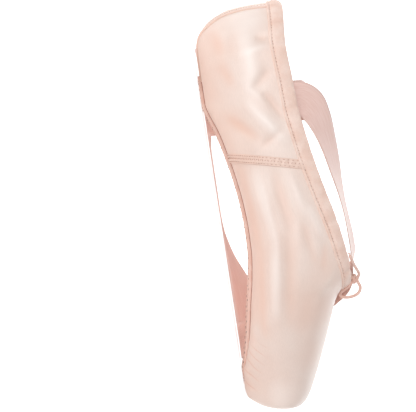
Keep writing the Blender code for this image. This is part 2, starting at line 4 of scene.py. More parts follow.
import bmesh
import bpy
import numpy as np
from mathutils import Matrix, Vector
from mathutils.bvhtree import BVHTree
from mathutils.interpolate import poly_3d_calc


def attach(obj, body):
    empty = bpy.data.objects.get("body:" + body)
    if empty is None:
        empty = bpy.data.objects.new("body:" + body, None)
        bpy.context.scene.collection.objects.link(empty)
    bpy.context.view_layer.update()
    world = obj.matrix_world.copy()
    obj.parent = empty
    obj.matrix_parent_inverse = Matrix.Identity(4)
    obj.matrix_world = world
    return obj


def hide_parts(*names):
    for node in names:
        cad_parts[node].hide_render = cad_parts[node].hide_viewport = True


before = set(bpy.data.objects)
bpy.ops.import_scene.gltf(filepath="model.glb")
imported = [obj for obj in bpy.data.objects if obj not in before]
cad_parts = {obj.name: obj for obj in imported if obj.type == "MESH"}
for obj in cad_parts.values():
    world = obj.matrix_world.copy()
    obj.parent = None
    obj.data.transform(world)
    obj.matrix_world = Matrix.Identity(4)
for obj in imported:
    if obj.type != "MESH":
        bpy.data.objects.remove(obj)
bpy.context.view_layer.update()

scene = bpy.context.scene

# Camera. It looks square at the right side of the shoe, rolled until the toe hangs down, and stands
# just above the floor that the sole rests on. FRAME_WIDTH is what it sees across the shoe's middle.
FRAME_WIDTH = 0.2419
CAMERA_DISTANCE = 1.15
CAMERA_HEIGHT = 0.004
PICTURE_CENTRE = Vector((-0.0051, 0.0, -0.0053))
ROLL = math.radians(8.7)

right = Vector((math.sin(ROLL), 0.0, math.cos(ROLL)))
up = Vector((-math.cos(ROLL), 0.0, math.sin(ROLL)))
stand = Vector((PICTURE_CENTRE.x, -CAMERA_DISTANCE, CAMERA_HEIGHT))
camera = bpy.data.objects.new("camera", bpy.data.cameras.new("camera"))
scene.collection.objects.link(camera)
camera.data.lens = camera.data.sensor_width * CAMERA_DISTANCE / FRAME_WIDTH
camera.data.shift_x = (PICTURE_CENTRE - stand).dot(right) / FRAME_WIDTH
camera.data.shift_y = (PICTURE_CENTRE - stand).dot(up) / FRAME_WIDTH
turn = Matrix((right, up, right.cross(up))).transposed().to_4x4()
camera.matrix_world = Matrix.Translation(stand) @ turn
scene.camera = camera

# Ribbons. Satin ribbon, shiny on one face and dull on the other, with a woven edge, sewn inside each
# quarter under the binding. The right one arches over the throat, the left one over its quarter.
RIBBON_WIDTH = 0.0200
RIBBON_THICKNESS = 0.0004
RIBBON_CROWN = 0.0004
RIBBON_STEPS = 8
# Routes: x, y and z of the ribbon's middle, then the direction across it
RIBBON_RIGHT_ROUTE = (
    (-0.058, -0.0264, 0.04, 1, 0, 0), (-0.058, -0.0239, 0.0455, 1, 0, 0),
    (-0.058, -0.0216, 0.053, 1, 0, 0), (-0.0568, -0.02, 0.058, 0.98, -0.03, -0.12),
    (-0.0525, -0.018, 0.0625, 0.82, -0.25, -0.45), (-0.044, -0.0155, 0.066, 0.55, -0.58, -0.58),
    (-0.032, -0.0124, 0.0686, 0.32, -0.8, -0.5), (-0.0175, -0.0085, 0.0706, 0.2, -0.9, -0.38),
    (-0.0055, -0.0046, 0.0719, 0.18, -0.94, -0.24), (0.007, -0.0002, 0.0731, 0.22, -0.95, -0.16),
    (0.0195, 0.0045, 0.0741, 0.34, -0.92, -0.17), (0.0315, 0.0098, 0.0748, 0.5, -0.85, -0.2),
    (0.0418, 0.0152, 0.0741, 0.64, -0.76, -0.2), (0.05, 0.0208, 0.069, 0.74, -0.65, -0.08),
    (0.0562, 0.0264, 0.0588, 0.77, -0.58, 0.15), (0.0618, 0.0318, 0.048, 0.8, -0.48, 0.3),
    (0.0665, 0.0365, 0.039, 0.87, -0.35, 0.3), (0.0705, 0.0402, 0.03, 0.95, -0.2, 0.15),
    (0.0732, 0.0414, 0.021, 1, -0.1, 0.05), (0.075, 0.0426, 0.0125, 1, -0.05, 0),
    (0.0767, 0.045, 0.006, 1, 0, 0), (0.0785, 0.0505, 0.002, 1, 0, 0),
    (0.0802, 0.059, 0.0013, 1, 0, -0.05), (0.0802, 0.069, 0.0028, 0.96, 0.1, -0.2),
    (0.0765, 0.08, 0.006, 0.78, 0.39, -0.5), (0.067, 0.089, 0.0087, 0.33, 0.56, -0.75),
    (0.054, 0.093, 0.0087, 0.06, 0.66, -0.75), (0.04, 0.092, 0.0062, -0.12, 0.85, -0.5),
    (0.023, 0.0885, 0.003, -0.2, 0.96, -0.18), (0.005, 0.085, 0.0012, -0.15, 0.98, 0),
    (-0.015, 0.084, 0.001, 0.05, 1, 0), (-0.035, 0.088, 0.001, 0.25, 0.97, 0),
    (-0.053, 0.096, 0.001, 0.42, 0.9, 0),
)
RIBBON_LEFT_ROUTE = (
    (-0.061, 0.0263, 0.04, 1, 0, 0), (-0.061, 0.0237, 0.0455, 1, 0, 0),
    (-0.061, 0.0213, 0.053, 1, 0, 0.06), (-0.0607, 0.0206, 0.0582, 1, 0, 0.12),
    (-0.0602, 0.0222, 0.0614, 1, 0, 0.15), (-0.0592, 0.0262, 0.0634, 1, 0, 0.14),
    (-0.0582, 0.0308, 0.0622, 1, 0, 0.1), (-0.0574, 0.0334, 0.0588, 1, 0, 0.05),
    (-0.0568, 0.0346, 0.052, 1, 0, 0), (-0.0562, 0.0348, 0.042, 1, 0, 0),
    (-0.0558, 0.0349, 0.03, 1, 0, 0), (-0.0558, 0.0355, 0.018, 1, 0, 0),
    (-0.056, 0.0379, 0.008, 1, 0, 0), (-0.0568, 0.0431, 0.0024, 1, 0.06, 0),
    (-0.0592, 0.0512, 0.0012, 0.94, 0.32, 0), (-0.0652, 0.061, 0.0014, 0.8, 0.6, 0.05),
    (-0.0752, 0.0715, 0.0032, 0.58, 0.8, 0.2), (-0.0865, 0.082, 0.0066, 0.45, 0.7, 0.55),
    (-0.0975, 0.0955, 0.009, 0.54, 0.27, 0.8), (-0.1, 0.111, 0.0096, 0.45, -0.05, 0.89),
    (-0.093, 0.1255, 0.009, 0.45, -0.39, 0.8), (-0.078, 0.1335, 0.0062, 0.3, -0.81, 0.5),
    (-0.06, 0.137, 0.0032, 0.05, -0.98, 0.2), (-0.04, 0.1365, 0.0012, -0.08, -1, 0),
    (-0.015, 0.1335, 0.001, -0.12, -1, 0), (0.01, 0.1305, 0.001, -0.1, -1, 0),
    (0.035, 0.129, 0.001, 0, -1, 0), (0.06, 0.131, 0.001, 0.15, -0.99, 0),
    (0.085, 0.137, 0.001, 0.3, -0.95, 0),
)


def tone(red, green, blue):
    """Shader colour of a tone given as it looks in daylight, each part from 0 to 255."""
    parts = [value / 255 for value in (red, green, blue)]
    return tuple(p / 12.92 if p <= 0.04045 else ((p + 0.055) / 1.055) ** 2.4 for p in parts)


def new_node(tree, kind, values=(), **settings):
    """Shader node with its settings, such as a blend type, and the constants of its inputs."""
    node = tree.nodes.new(kind)
    for name, value in settings.items():
        setattr(node, name, value)
    for name, value in dict(values).items():
        node.inputs[name].default_value = value
    return node


def join(tree, *links):
    """Links of a shader tree, each from a node's output to another node's input."""
    for node, output, other, socket in links:
        tree.links.new(node.outputs[output], other.inputs[socket])


def cloth_pattern():
    """Node group of all the cloths: two tones in soft patches, and threads that stand up a little."""
    group = bpy.data.node_groups.new("cloth", "ShaderNodeTree")
    for name, way, kind in (
        ("Vector", "INPUT", "Vector"), ("Light", "INPUT", "Color"), ("Dark", "INPUT", "Color"),
        ("Patches", "INPUT", "Float"), ("Threads", "INPUT", "Vector"),
        ("Colour", "OUTPUT", "Color"), ("Height", "OUTPUT", "Float"),
    ):
        group.interface.new_socket(name=name, in_out=way, socket_type=f"NodeSocket{kind}")
    given = new_node(group, "NodeGroupInput")
    result = new_node(group, "NodeGroupOutput")
    patches = new_node(group, "ShaderNodeTexNoise", {"Detail": 3.0})
    spread = new_node(group, "ShaderNodeMapRange", {"From Min": 0.36, "From Max": 0.64})
    threads = new_node(group, "ShaderNodeTexNoise", {"Scale": 1.0, "Detail": 2.0})
    stretch = new_node(group, "ShaderNodeVectorMath", operation="MULTIPLY")
    tones = new_node(group, "ShaderNodeMix", data_type="RGBA")
    fleck = new_node(group, "ShaderNodeMix", {"Factor": 0.12}, data_type="RGBA", blend_type="MULTIPLY")
    join(
        group,
        (given, "Vector", patches, "Vector"),
        (given, "Patches", patches, "Scale"),
        (patches, "Fac", spread, "Value"),
        (spread, "Result", tones, "Factor"),
        (given, "Light", tones, "A"),
        (given, "Dark", tones, "B"),
        (given, "Vector", stretch, 0),
        (given, "Threads", stretch, 1),
        (stretch, "Vector", threads, "Vector"),
        (tones, "Result", fleck, "A"),
        (threads, "Fac", fleck, "B"),
        (fleck, "Result", result, "Colour"),
        (threads, "Fac", result, "Height"),
    )
    return group


cloth_group = cloth_pattern()


def cloth(name, light, dark, patches, threads, relief, roughness, sheen=(0.0, 0.5), follows="Object"):
    """Material of one cloth: its tones, fineness of patches and threads, relief, and shine."""
    material = bpy.data.materials.new(name)
    material.use_nodes = True
    tree = material.node_tree
    shader = tree.nodes["Principled BSDF"]
    for socket, value in zip(("Roughness", "Sheen Weight", "Sheen Roughness"), (roughness, *sheen)):
        shader.inputs[socket].default_value = value
    where = new_node(tree, "ShaderNodeTexCoord")
    own = {
        "Light": (*tone(*light), 1.0),
        "Dark": (*tone(*dark), 1.0),
        "Patches": patches,
        "Threads": threads if isinstance(threads, tuple) else (threads, threads, threads),
    }
    pattern = new_node(tree, "ShaderNodeGroup", own, name="cloth", node_tree=cloth_group)
    bump = new_node(tree, "ShaderNodeBump", {"Strength": 0.6, "Distance": relief})
    join(
        tree,
        (where, follows, pattern, "Vector"),
        (pattern, "Colour", shader, "Base Color"),
        (pattern, "Height", bump, "Height"),
        (bump, "Normal", shader, "Normal"),
    )
    return material


WELD_DISTANCE = 0.000004


def wrapped_grid(across, along, place):
    """Grid of cells laid over a form: place turns shares across and along it into points."""
    bm = bmesh.new()
    bm.loops.layers.uv.new("UVMap")
    bmesh.ops.create_grid(bm, x_segments=across, y_segments=along, size=1.0, calc_uvs=True)
    flat = np.array([vert.co[:2] for vert in bm.verts])
    shares = (flat - flat.min(axis=0)) / (flat.max(axis=0) - flat.min(axis=0))
    for vert, point in zip(bm.verts, place(shares[:, 0], shares[:, 1])):
        vert.co = point
    bmesh.ops.remove_doubles(bm, verts=bm.verts, dist=WELD_DISTANCE)
    return bm


def put_object(name, bm, materials):
    """Object of a finished mesh, put into the scene."""
    mesh = bpy.data.meshes.new(name)
    bm.to_mesh(mesh)
    bm.free()
    for material in materials:
        mesh.materials.append(material)
    mesh.shade_smooth()
    result = bpy.data.objects.new(name, mesh)
    scene.collection.objects.link(result)
    return result


def add_piece(name, bm, *materials, slot):
    """Piece that rides on the shoe; its slot argument is not used."""
    piece = put_object(name, bm, materials)
    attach(piece, "root")
    return piece


def thicken(piece, thickness, offset):
    """Live wall on a sheet, with the sheet's second material on the other face."""
    wall = piece.modifiers.new("wall", "SOLIDIFY")
    wall.thickness = thickness
    wall.offset = offset
    wall.material_offset = 1
    wall.material_offset_rim = 0
    return wall


def smooth_route(rows, steps):
    """Rows on a smooth curve through the given rows, with steps between each pair."""
    rows = np.array(rows)
    rows = np.vstack((2 * rows[0] - rows[1], rows, 2 * rows[-1] - rows[-2]))
    basis = np.array(((0, 2, 0, 0), (-1, 0, 1, 0), (2, -5, 4, -1), (-1, 3, -3, 1))) / 2
    result = []
    for i in range(1, len(rows) - 2):
        for t in np.arange(steps) / steps:
            result.append(t ** np.arange(4) @ basis @ rows[i - 1:i + 3])
    return np.array(result + [rows[-2]])


def unit(vectors):
    return vectors / np.linalg.norm(vectors, axis=-1, keepdims=True)


def travelled(places):
    """Distance travelled along a route up to each of its places."""
    return np.concatenate(([0.0], np.cumsum(np.linalg.norm(np.diff(places, axis=0), axis=1))))


def at_distance(places, travel, distance):
    """Places of a route at distances travelled along it."""
    return np.stack([np.interp(distance, travel, axis) for axis in places.T], axis=-1)


ribbon_front = cloth(
    "ribbon_satin", (247, 214, 205), (241, 204, 193), 35, (2600, 60, 1), 0.00001, 0.36, (0.3, 0.4), "UV"
)
ribbon_back = cloth(
    "ribbon_satin_back", (240, 200, 188), (233, 188, 175), 35, (2600, 60, 1), 0.00001,
    0.62, (0.2, 0.5), "UV",
)
for side, route in (("right", RIBBON_RIGHT_ROUTE), ("left", RIBBON_LEFT_ROUTE)):
    rows = smooth_route(route, RIBBON_STEPS)
    middle = rows[:, :3]
    ahead = unit(np.gradient(middle, axis=0))
    across = rows[:, 3:]
    across = unit(across - (across * ahead).sum(axis=1, keepdims=True) * ahead)
    face = np.cross(ahead, across)

    def on_ribbon(u, v):
        i = np.rint(v * (len(middle) - 1)).astype(int)
        out = (2 * u - 1)[:, None]
        return middle[i] + across[i] * out * RIBBON_WIDTH / 2 + face[i] * RIBBON_CROWN * (1 - out ** 2)

    strip = wrapped_grid(10, len(middle) - 1, on_ribbon)
    ribbon = add_piece(f"satin_ribbon_{side}", strip, ribbon_front, ribbon_back, slot="satin_ribbon")
    thicken(ribbon, RIBBON_THICKNESS, 0.0)
    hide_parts(f"ribbon_{side}")

# Drawstring. Soft braided cotton cord that runs inside the binding and comes out at the throat, where
# it is knotted, with one loop and a free end whose threads have come apart.
CORD_DIAMETER = 0.0018
KNOT_PLACE = np.array((0.0496, 0.0000, 0.0723))
DRAWSTRING_ROUTE = (
    (0.0512, 0.0002, 0.0712), (0.0532, 0.0003, 0.0688), (0.0548, 0.0005, 0.066),
    (0.0562, 0.0006, 0.0636), (0.0581, 0.0006, 0.063), (0.0593, 0.0004, 0.0648),
    (0.0597, 0.0, 0.0682), (0.059, -0.0006, 0.0718), (0.0572, -0.0012, 0.0742),
    (0.0546, -0.0014, 0.075), (0.052, -0.0012, 0.0742), (0.0504, -0.001, 0.0738),
    (0.0488, -0.0017, 0.0745), (0.047, -0.0046, 0.0753), (0.0442, -0.0088, 0.0742),
    (0.0408, -0.0136, 0.0726), (0.0372, -0.018, 0.0714), (0.0345, -0.0204, 0.0706),
)
KNOT_SCALE = 0.00062
KNOT_CORD_RADIUS = 0.00088
FRAYED_THREADS = 7
FRAYED_LENGTH = 0.0026
FRAYED_THREAD_RADIUS = 0.00016


def tube(places, radius, around):
    """Round cord along places, closed by rounding its two ends off."""
    ahead = unit(np.gradient(places, axis=0))
    sideways = [unit(np.cross(ahead[0], (0.31, 0.87, 0.38)))]
    for direction in ahead[1:]:
        sideways.append(unit(sideways[-1] - np.dot(sideways[-1], direction) * direction))
    sideways = np.array(sideways)
    upward = np.cross(ahead, sideways)
    last = len(places) - 1

    def on_cord(u, v):
        i = np.rint(v * last).astype(int)
        angle = (2 * math.pi * u)[:, None]
        rounded = radius * np.sqrt(np.clip(np.minimum(i, last - i) / 2, 0, 1))[:, None]
        return places[i] + rounded * (sideways[i] * np.cos(angle) + upward[i] * np.sin(angle))

    bm = wrapped_grid(around, last, on_cord)
    bmesh.ops.recalc_face_normals(bm, faces=bm.faces)
    return bm


cord_cotton = cloth(
    "cord_cotton", (248, 214, 202), (240, 196, 180), 900, (900, 9000, 1), 0.00012, 0.85, (0.3, 0.6)
)
cord_places = smooth_route(DRAWSTRING_ROUTE, 5)
drawstring = add_piece(
    "drawstring", tube(cord_places, CORD_DIAMETER / 2, 14), cord_cotton, slot="cotton_cord"
)
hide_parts("drawstring_loop", "drawstring_end")

winding = np.linspace(-0.97 * math.pi, 0.97 * math.pi, 60)
knot_places = KNOT_PLACE + KNOT_SCALE * np.stack((
    1.25 * (np.sin(winding) + 2 * np.sin(2 * winding)),
    0.80 * (np.cos(winding) - 2 * np.cos(2 * winding)),
    -1.10 * np.sin(3 * winding),
), axis=1)
knot_tube = tube(knot_places, KNOT_CORD_RADIUS, 12)
knot = add_piece("drawstring_bow_knot", knot_tube, cord_cotton, slot="cotton_cord")
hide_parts("drawstring_knot")

tip = cord_places[-1]
outward = unit(cord_places[-1] - cord_places[-4])
tuft = bmesh.new()
for i in range(FRAYED_THREADS):
    lean = 2 * math.pi * i / FRAYED_THREADS
    spread = np.array((0.35 * math.sin(lean), 0.55 * math.cos(lean), 0.45 * math.sin(lean + 1.0)))
    reach = np.linspace(0, 1, 7)[:, None]
    thread = tip + FRAYED_LENGTH * (outward * (reach - 0.4) + spread * reach ** 1.6)
    strand = tube(thread, FRAYED_THREAD_RADIUS, 6)
    loose = bpy.data.meshes.new("loose_thread")
    strand.to_mesh(loose)
    strand.free()
    tuft.from_mesh(loose)
    bpy.data.meshes.remove(loose)
frayed_tip = add_piece("drawstring_frayed_tip", tuft, cord_cotton, slot="cotton_cord")

# Studio. A plain white floor, a white card behind and three soft lights: one large in front, one
# above, and a weaker one behind that lifts the heel. They are no part of the shoe.
STAGE_REACH = 3.0
FLOOR_HEIGHT = -0.0003
CARD_DISTANCE = 1.6


def stage_plane(name, centre, turned, brightness, roughness, glow):
    """White plane that glows a little, so that the ground stays white in the picture."""
    white = bpy.data.materials.new(f"{name}_white")
    white.use_nodes = True
    paint = white.node_tree.nodes["Principled BSDF"].inputs
    paint["Base Color"].default_value = (brightness, brightness, brightness, 1.0)
    paint["Roughness"].default_value = roughness
    paint["Emission Color"].default_value = (1.0, 1.0, 1.0, 1.0)
    paint["Emission Strength"].default_value = glow
    bm = bmesh.new()
    bmesh.ops.create_grid(bm, x_segments=1, y_segments=1, size=STAGE_REACH)
    bmesh.ops.rotate(bm, cent=(0, 0, 0), matrix=Matrix.Rotation(turned, 3, "X"), verts=bm.verts)
    bmesh.ops.translate(bm, vec=centre, verts=bm.verts)
    put_object(name, bm, [white])


stage_plane("floor", (0, 0, FLOOR_HEIGHT), 0.0, brightness=0.93, roughness=0.9, glow=0.30)
stage_plane("card", (0, CARD_DISTANCE, 0), math.pi / 2, brightness=0.90, roughness=0.5, glow=0.70)

# Lights: place, size and power; each faces the shoe
LIGHTS = (
    ("front_light", (-0.55, -1.30, 0.40), 0.9, 6.0),
    ("top_light", (0.10, -0.20, 1.40), 1.0, 1.8),
    ("back_light", (-0.70, 0.80, 0.60), 1.0, 3.0),
)
for name, place, size, power in LIGHTS:
    lamp = bpy.data.lights.new(name, "AREA")
    lamp.size = size
    lamp.energy = power
    light = bpy.data.objects.new(name, lamp)
    aim = Vector(place).to_track_quat("Z", "Y").to_matrix().to_4x4()
    light.matrix_world = Matrix.Translation(place) @ aim
    scene.collection.objects.link(light)
world = bpy.data.worlds.new("studio")
world.use_nodes = True
sky = world.node_tree.nodes["Background"].inputs
sky["Color"].default_value = (1.0, 1.0, 1.0, 1.0)
sky["Strength"].default_value = 0.50
scene.world = world
scene.view_settings.view_transform = "Standard"

# Upper. Champagne-pink satin over canvas, pulled over the last wet with paste, so that it lies in
# long soft folds, and gathered into pleats under the toe. It is one wall, thicker at the toe box.
LAST_LENGTH = 0.2327
TOE_END = 0.1170
BALL_WIDTH = 0.0812
INSTEP_HEIGHT = 0.0701
HEEL_HEIGHT = 0.0545
CREST_HEIGHT = 0.0865
ARCH_RISE = 0.0138
PLATFORM_SLOPE = 0.155
SLOPE_PIVOT = 0.0198
UPPER_WALL = 0.0020
BOX_WALL = 0.0030
BOX_BEGINS = 0.66
BOX_FULL = 0.82
SATIN_BELOW_COLLAR = 0.0008
# Rows: share of the length, half width and flat as shares of the ball width, underside and widest
# place as shares of the instep height, crest as a share of its height, fullness, platform lean
LAST = (
    (0.0, 0.046, 0.004, 0.414, 0.57, 0.592, 2.6, 0),
    (0.003, 0.08, 0.006, 0.33, 0.545, 0.612, 2.6, 0),
    (0.01, 0.13, 0.01, 0.262, 0.5, 0.655, 2.5, 0),
    (0.02, 0.178, 0.02, 0.19, 0.45, 0.725, 2.4, 0),
    (0.036, 0.228, 0.05, 0.126, 0.405, 0.79, 2.25, 0),
    (0.06, 0.28, 0.105, 0.063, 0.365, 0.845, 2.1, 0),
    (0.09, 0.322, 0.155, 0.038, 0.34, 0.885, 1.95, 0),
    (0.135, 0.364, 0.2, 0.032, 0.33, 0.925, 1.85, 0),
    (0.2, 0.388, 0.235, 0.03, 0.34, 0.95, 1.76, 0),
    (0.3, 0.409, 0.252, 0.03, 0.375, 0.975, 1.7, 0),
    (0.42, 0.425, 0.234, 0.03, 0.415, 0.995, 1.7, 0),
    (0.53, 0.45, 0.252, 0.03, 0.425, 1.0, 1.68, 0),
    (0.61, 0.48, 0.305, 0.03, 0.415, 0.98, 1.65, 0),
    (0.67, 0.494, 0.345, 0.03, 0.395, 0.905, 1.65, 0),
    (0.711, 0.499, 0.364, 0.03, 0.38, 0.808, 1.75, 0),
    (0.732, 0.5, 0.37, 0.03, 0.372, 0.735, 1.85, 0),
    (0.752, 0.499, 0.37, 0.03, 0.362, 0.694, 1.95, 0),
    (0.79, 0.486, 0.358, 0.029, 0.348, 0.65, 2.0, 0),
    (0.861, 0.436, 0.308, 0.022, 0.32, 0.57, 2.05, 0),
    (0.906, 0.402, 0.262, 0.012, 0.3, 0.514, 2.1, 0.1),
    (0.938, 0.378, 0.225, 0.007, 0.287, 0.47, 2.15, 0.3),
    (0.962, 0.36, 0.19, 0.018, 0.28, 0.43, 2.25, 0.7),
    (0.979, 0.342, 0.165, 0.058, 0.28, 0.393, 2.4, 1.0),
    (0.988, 0.324, 0.15, 0.105, 0.282, 0.366, 2.5, 1.0),
    (0.9925, 0.303, 0.14, 0.14, 0.283, 0.343, 2.55, 1.0),
    (0.9952, 0.275, 0.125, 0.176, 0.283, 0.315, 2.6, 1.0),
)
# Height of the sole line along the shoe, as a share of the arch's rise, and of the collar line, as a
# share of the way from the heel's height to the instep's
SOLE_LINE = (
    (0.0, 0.0), (0.229, 0.0), (0.255, 0.11), (0.3, 0.38), (0.36, 0.62), (0.42, 0.81),
    (0.48, 0.94), (0.545, 1.0), (0.6, 0.98), (0.66, 0.85), (0.735, 0.6), (0.812, 0.35),
    (0.86, 0.15), (0.893, 0.0), (1.0, 0.0),
)
COLLAR_LINE = (
    (-0.1, 0.06), (0.0, 0.02), (0.045, -0.04), (0.12, -0.13), (0.2, -0.07), (0.27, -0.03),
    (0.33, 0.08), (0.385, 0.21), (0.445, 0.38), (0.51, 0.6), (0.57, 0.79), (0.63, 0.92),
    (0.675, 1.0), (0.711, 1.0), (0.8, 1.03),
)
TENTHS_IN_METRE = 10000
UNDER_TURN = 0.2
WIDEST_TURN = 0.5
CELL_LENGTH = 0.0062
CAP_ROWS = (0.10, 0.25, 0.45, 0.70, 1.00)
CAP_DOME = 0.0005
# Folds listed one by one, in tenths of a millimetre: x and z of both ends on the right side, how wide,
# and how high or deep
FOLDS = (
    (-1041, 121, -877, 150, 42, -13), (-1010, 225, -860, 218, 30, -6),
    (-995, 308, -683, 303, 55, 11), (-959, 354, -947, 428, 24, -10),
    (-903, 420, -875, 265, 18, 7), (-837, 130, -704, 190, 36, -11),
    (-760, 410, -660, 300, 26, -8), (-700, 250, -560, 370, 30, 6),
    (-607, 241, -358, 431, 36, 12), (-533, 130, -386, 280, 34, -13),
    (-640, 360, -470, 460, 22, -10), (-420, 440, -330, 300, 20, -6),
    (-230, 235, 199, 290, 34, 12), (199, 290, 630, 235, 38, 11),
    (-227, 161, 249, 196, 26, -11), (249, 196, 777, 140, 26, -9),
    (-184, 345, 143, 400, 34, -10), (143, 390, 666, 310, 38, -9),
    (-150, 440, 100, 490, 28, 7), (22, 509, 225, 562, 22, 8),
    (120, 470, 360, 500, 24, -7), (260, 575, 400, 540, 18, -7),
    (420, 610, 560, 500, 16, 6), (500, 430, 760, 360, 50, -6),
    (640, 100, 780, 150, 26, 8),
)
# Places where the satin gets painted shade, warmer and darker, or painted light, paler, without a fold,
# in the same unit:
# x, z, how wide, and how strong the painted shade, below nought a painted light
SHADE_AND_LIGHT_SPOTS = (
    (400, 560, 110, 7),
    (620, 500, 140, 6),
    (900, 440, 120, 5),
    (-120, 480, 80, 3),
    (-500, 150, 120, 4),
    (-1060, 330, 110, -11),
    (1100, 200, 120, -7),
)
PLEAT_CENTRE = 0.0660
PLEAT_ANGLE = math.radians(10.0)
PLEAT_LEAN = 0.85
PLEAT_FOOT = 0.0050
PLEAT_HEIGHT = 0.0007
PLEAT_FALL = 0.42
PLEAT_SWAY = 0.16
PLEAT_RHYTHM = 310.0
PLEAT_PEAK = 0.74
PLEAT_END = (0.0165, 0.0250)
PLEAT_START = (0.070, 0.082)
LEFT_FOLD_SHIFT = np.array((0.0050, 0.0015))
LEFT_FOLD_SHARE = 0.8
# Painted shade in a warm darker band where the satin turns down to the sole: how strong, and how high it
# reaches
SOLE_PAINTED_SHADE = 0.0006
SOLE_PAINTED_SHADE_RISE = 0.0110
TINT_RANGE = 0.002
# How strongly the creases between the toe's pleats are painted darker, as painted shade
PLEAT_SHADE_SHARE = 0.55


def row_value(table, column, share):
    """A table's column at shares of the length, on a smooth curve that does not overshoot."""
    rows = np.array(table)
    x = rows[:, 0]
    y = rows[:, column]
    step = np.diff(x)
    slope = np.diff(y) / step
    before = 2 * step[1:] + step[:-1]
    after = step[1:] + 2 * step[:-1]
    rising = slope[:-1] * slope[1:] > 0
    first = np.where(rising, slope[:-1], 1.0)
    second = np.where(rising, slope[1:], 1.0)
    inner = np.where(rising, (before + after) / (before / first + after / second), 0.0)
    tangent = np.concatenate(([slope[0]], inner, [slope[-1]]))
    share = np.clip(share, x[0], x[-1])
    i = np.clip(np.searchsorted(x, share, side="right") - 1, 0, len(step) - 1)
    t = (share - x[i]) / step[i]
    return (
        y[i] * (1 + 2 * t) * (1 - t) ** 2
        + tangent[i] * step[i] * t * (1 - t) ** 2
        + y[i + 1] * t * t * (3 - 2 * t)
        + tangent[i + 1] * step[i] * t * t * (t - 1)
    )


def share_to_x(share):
    return TOE_END - (1 - share) * LAST_LENGTH


def x_to_share(x):
    return 1 - (TOE_END - x) / LAST_LENGTH


def sole_height(share):
    return ARCH_RISE * row_value(SOLE_LINE, 1, share)


def collar_height(share):
    return HEEL_HEIGHT + (INSTEP_HEIGHT - HEEL_HEIGHT) * row_value(COLLAR_LINE, 1, share)


def section(share):
    """Half width, flat, underside, widest height, crest and fullness of the last, in metres."""
    return (
        BALL_WIDTH * row_value(LAST, 1, share),
        BALL_WIDTH * row_value(LAST, 2, share),
        sole_height(share) + INSTEP_HEIGHT * row_value(LAST, 3, share),
        INSTEP_HEIGHT * row_value(LAST, 4, share),
        CREST_HEIGHT * row_value(LAST, 5, share),
        row_value(LAST, 6, share),
    )


def on_last(share, turned):
    """Points of the last's left half: turned goes from 0 under the foot to 1 at the crest."""
    half, flat, under, widest, crest, fullness = section(share)
    low = np.clip((turned - UNDER_TURN) / (WIDEST_TURN - UNDER_TURN), 0, 1) * math.pi / 2
    high = np.clip((turned - WIDEST_TURN) / (1 - WIDEST_TURN), 0, 1) * math.pi / 2
    out = flat * np.clip(turned / UNDER_TURN, 0, 1) + (half - flat) * np.sin(low)
    out = np.where(turned > WIDEST_TURN, half * np.cos(high) ** (2 / fullness), out)
    out = np.where(turned > 0.999999, 0.0, out)
    height = widest - (widest - under) * np.cos(low)
    height = np.where(
        turned > WIDEST_TURN, widest + (crest - widest) * np.sin(high) ** (2 / fullness), height
    )
    lean = PLATFORM_SLOPE * row_value(LAST, 7, share) * (height - SLOPE_PIVOT)
    return np.stack((share_to_x(share) + lean, out, height), axis=-1)


def turn_at_height(share, height):
    """How far round the last a height above its widest place is, or 1 where the crest is lower."""
    _, _, _, widest, crest, fullness = section(share)
    rise = np.clip((height - widest) / (crest - widest), 0, 1)
    return WIDEST_TURN + (1 - WIDEST_TURN) * np.arcsin(rise ** (fullness / 2)) * 2 / math.pi


def step_up(value, low, high):
    t = np.clip((value - low) / (high - low), 0, 1)
    return t * t * (3 - 2 * t)


def fold_height(points, facing):
    """How far the satin stands off the last in its folds and pleats, and the same less its painted shade
    and light.
    """
    left = points[:, 1] > 0
    spot = points[:, (0, 2)] - left[:, None] * LEFT_FOLD_SHIFT
    height = np.zeros(len(points))
    for x0, z0, x1, z1, width, depth in np.array(FOLDS) / TENTHS_IN_METRE:
        start = np.array((x0, z0))
        line = np.array((x1 - x0, z1 - z0))
        share = np.clip((spot - start) @ line / (line @ line), 0, 1)
        gap = np.linalg.norm(spot - start - share[:, None] * line, axis=1)
        fading = np.sqrt(np.sin(math.pi * (0.03 + 0.94 * share)))
        height += depth * np.exp(-(gap / width) ** 2) * fading
    height *= np.abs(facing[:, 1]) * np.where(left, LEFT_FOLD_SHARE, 1.0)
    ahead = points[:, 0] - PLEAT_CENTRE - PLEAT_LEAN * np.maximum(points[:, 2] - PLEAT_FOOT, 0)
    turned = np.arctan2(np.abs(points[:, 1]), ahead) / PLEAT_ANGLE + 0.5
    turned += PLEAT_SWAY * np.sin(PLEAT_RHYTHM * points[:, 1])
    saw = turned - np.floor(turned)
    pleat = saw - step_up(saw, PLEAT_PEAK, 1.0)
    reach = points[:, 2] + PLEAT_FALL * (points[:, 0] - PLEAT_CENTRE)
    low = 1 - step_up(reach, *PLEAT_END)
    height += PLEAT_HEIGHT * pleat * low * step_up(points[:, 0], *PLEAT_START)
    above = points[:, 2] - sole_height(x_to_share(points[:, 0]))
    # Painted shade just above the sole, and painted shade and light in the listed spots
    painted_shade = SOLE_PAINTED_SHADE * np.exp(-(above / SOLE_PAINTED_SHADE_RISE) ** 2)
    for x, z, width, depth in np.array(SHADE_AND_LIGHT_SPOTS) / TENTHS_IN_METRE:
        painted_shade += depth * np.exp(-((points[:, 0] - x) ** 2 + (points[:, 2] - z) ** 2) / width ** 2)
    return height, height - painted_shade


shares = []
for first, second in zip(LAST, LAST[1:]):
    pieces = max(2, math.ceil((second[0] - first[0]) / CELL_LENGTH))
    shares += [first[0] + (second[0] - first[0]) * i / pieces for i in range(pieces)]
shares.append(LAST[-1][0])
caps = len(CAP_ROWS)
row_shares = np.array([shares[0]] * caps + shares + [shares[-1]] * caps)
row_shrink = np.array([*reversed(CAP_ROWS)] + [0.0] * len(shares) + [*CAP_ROWS])


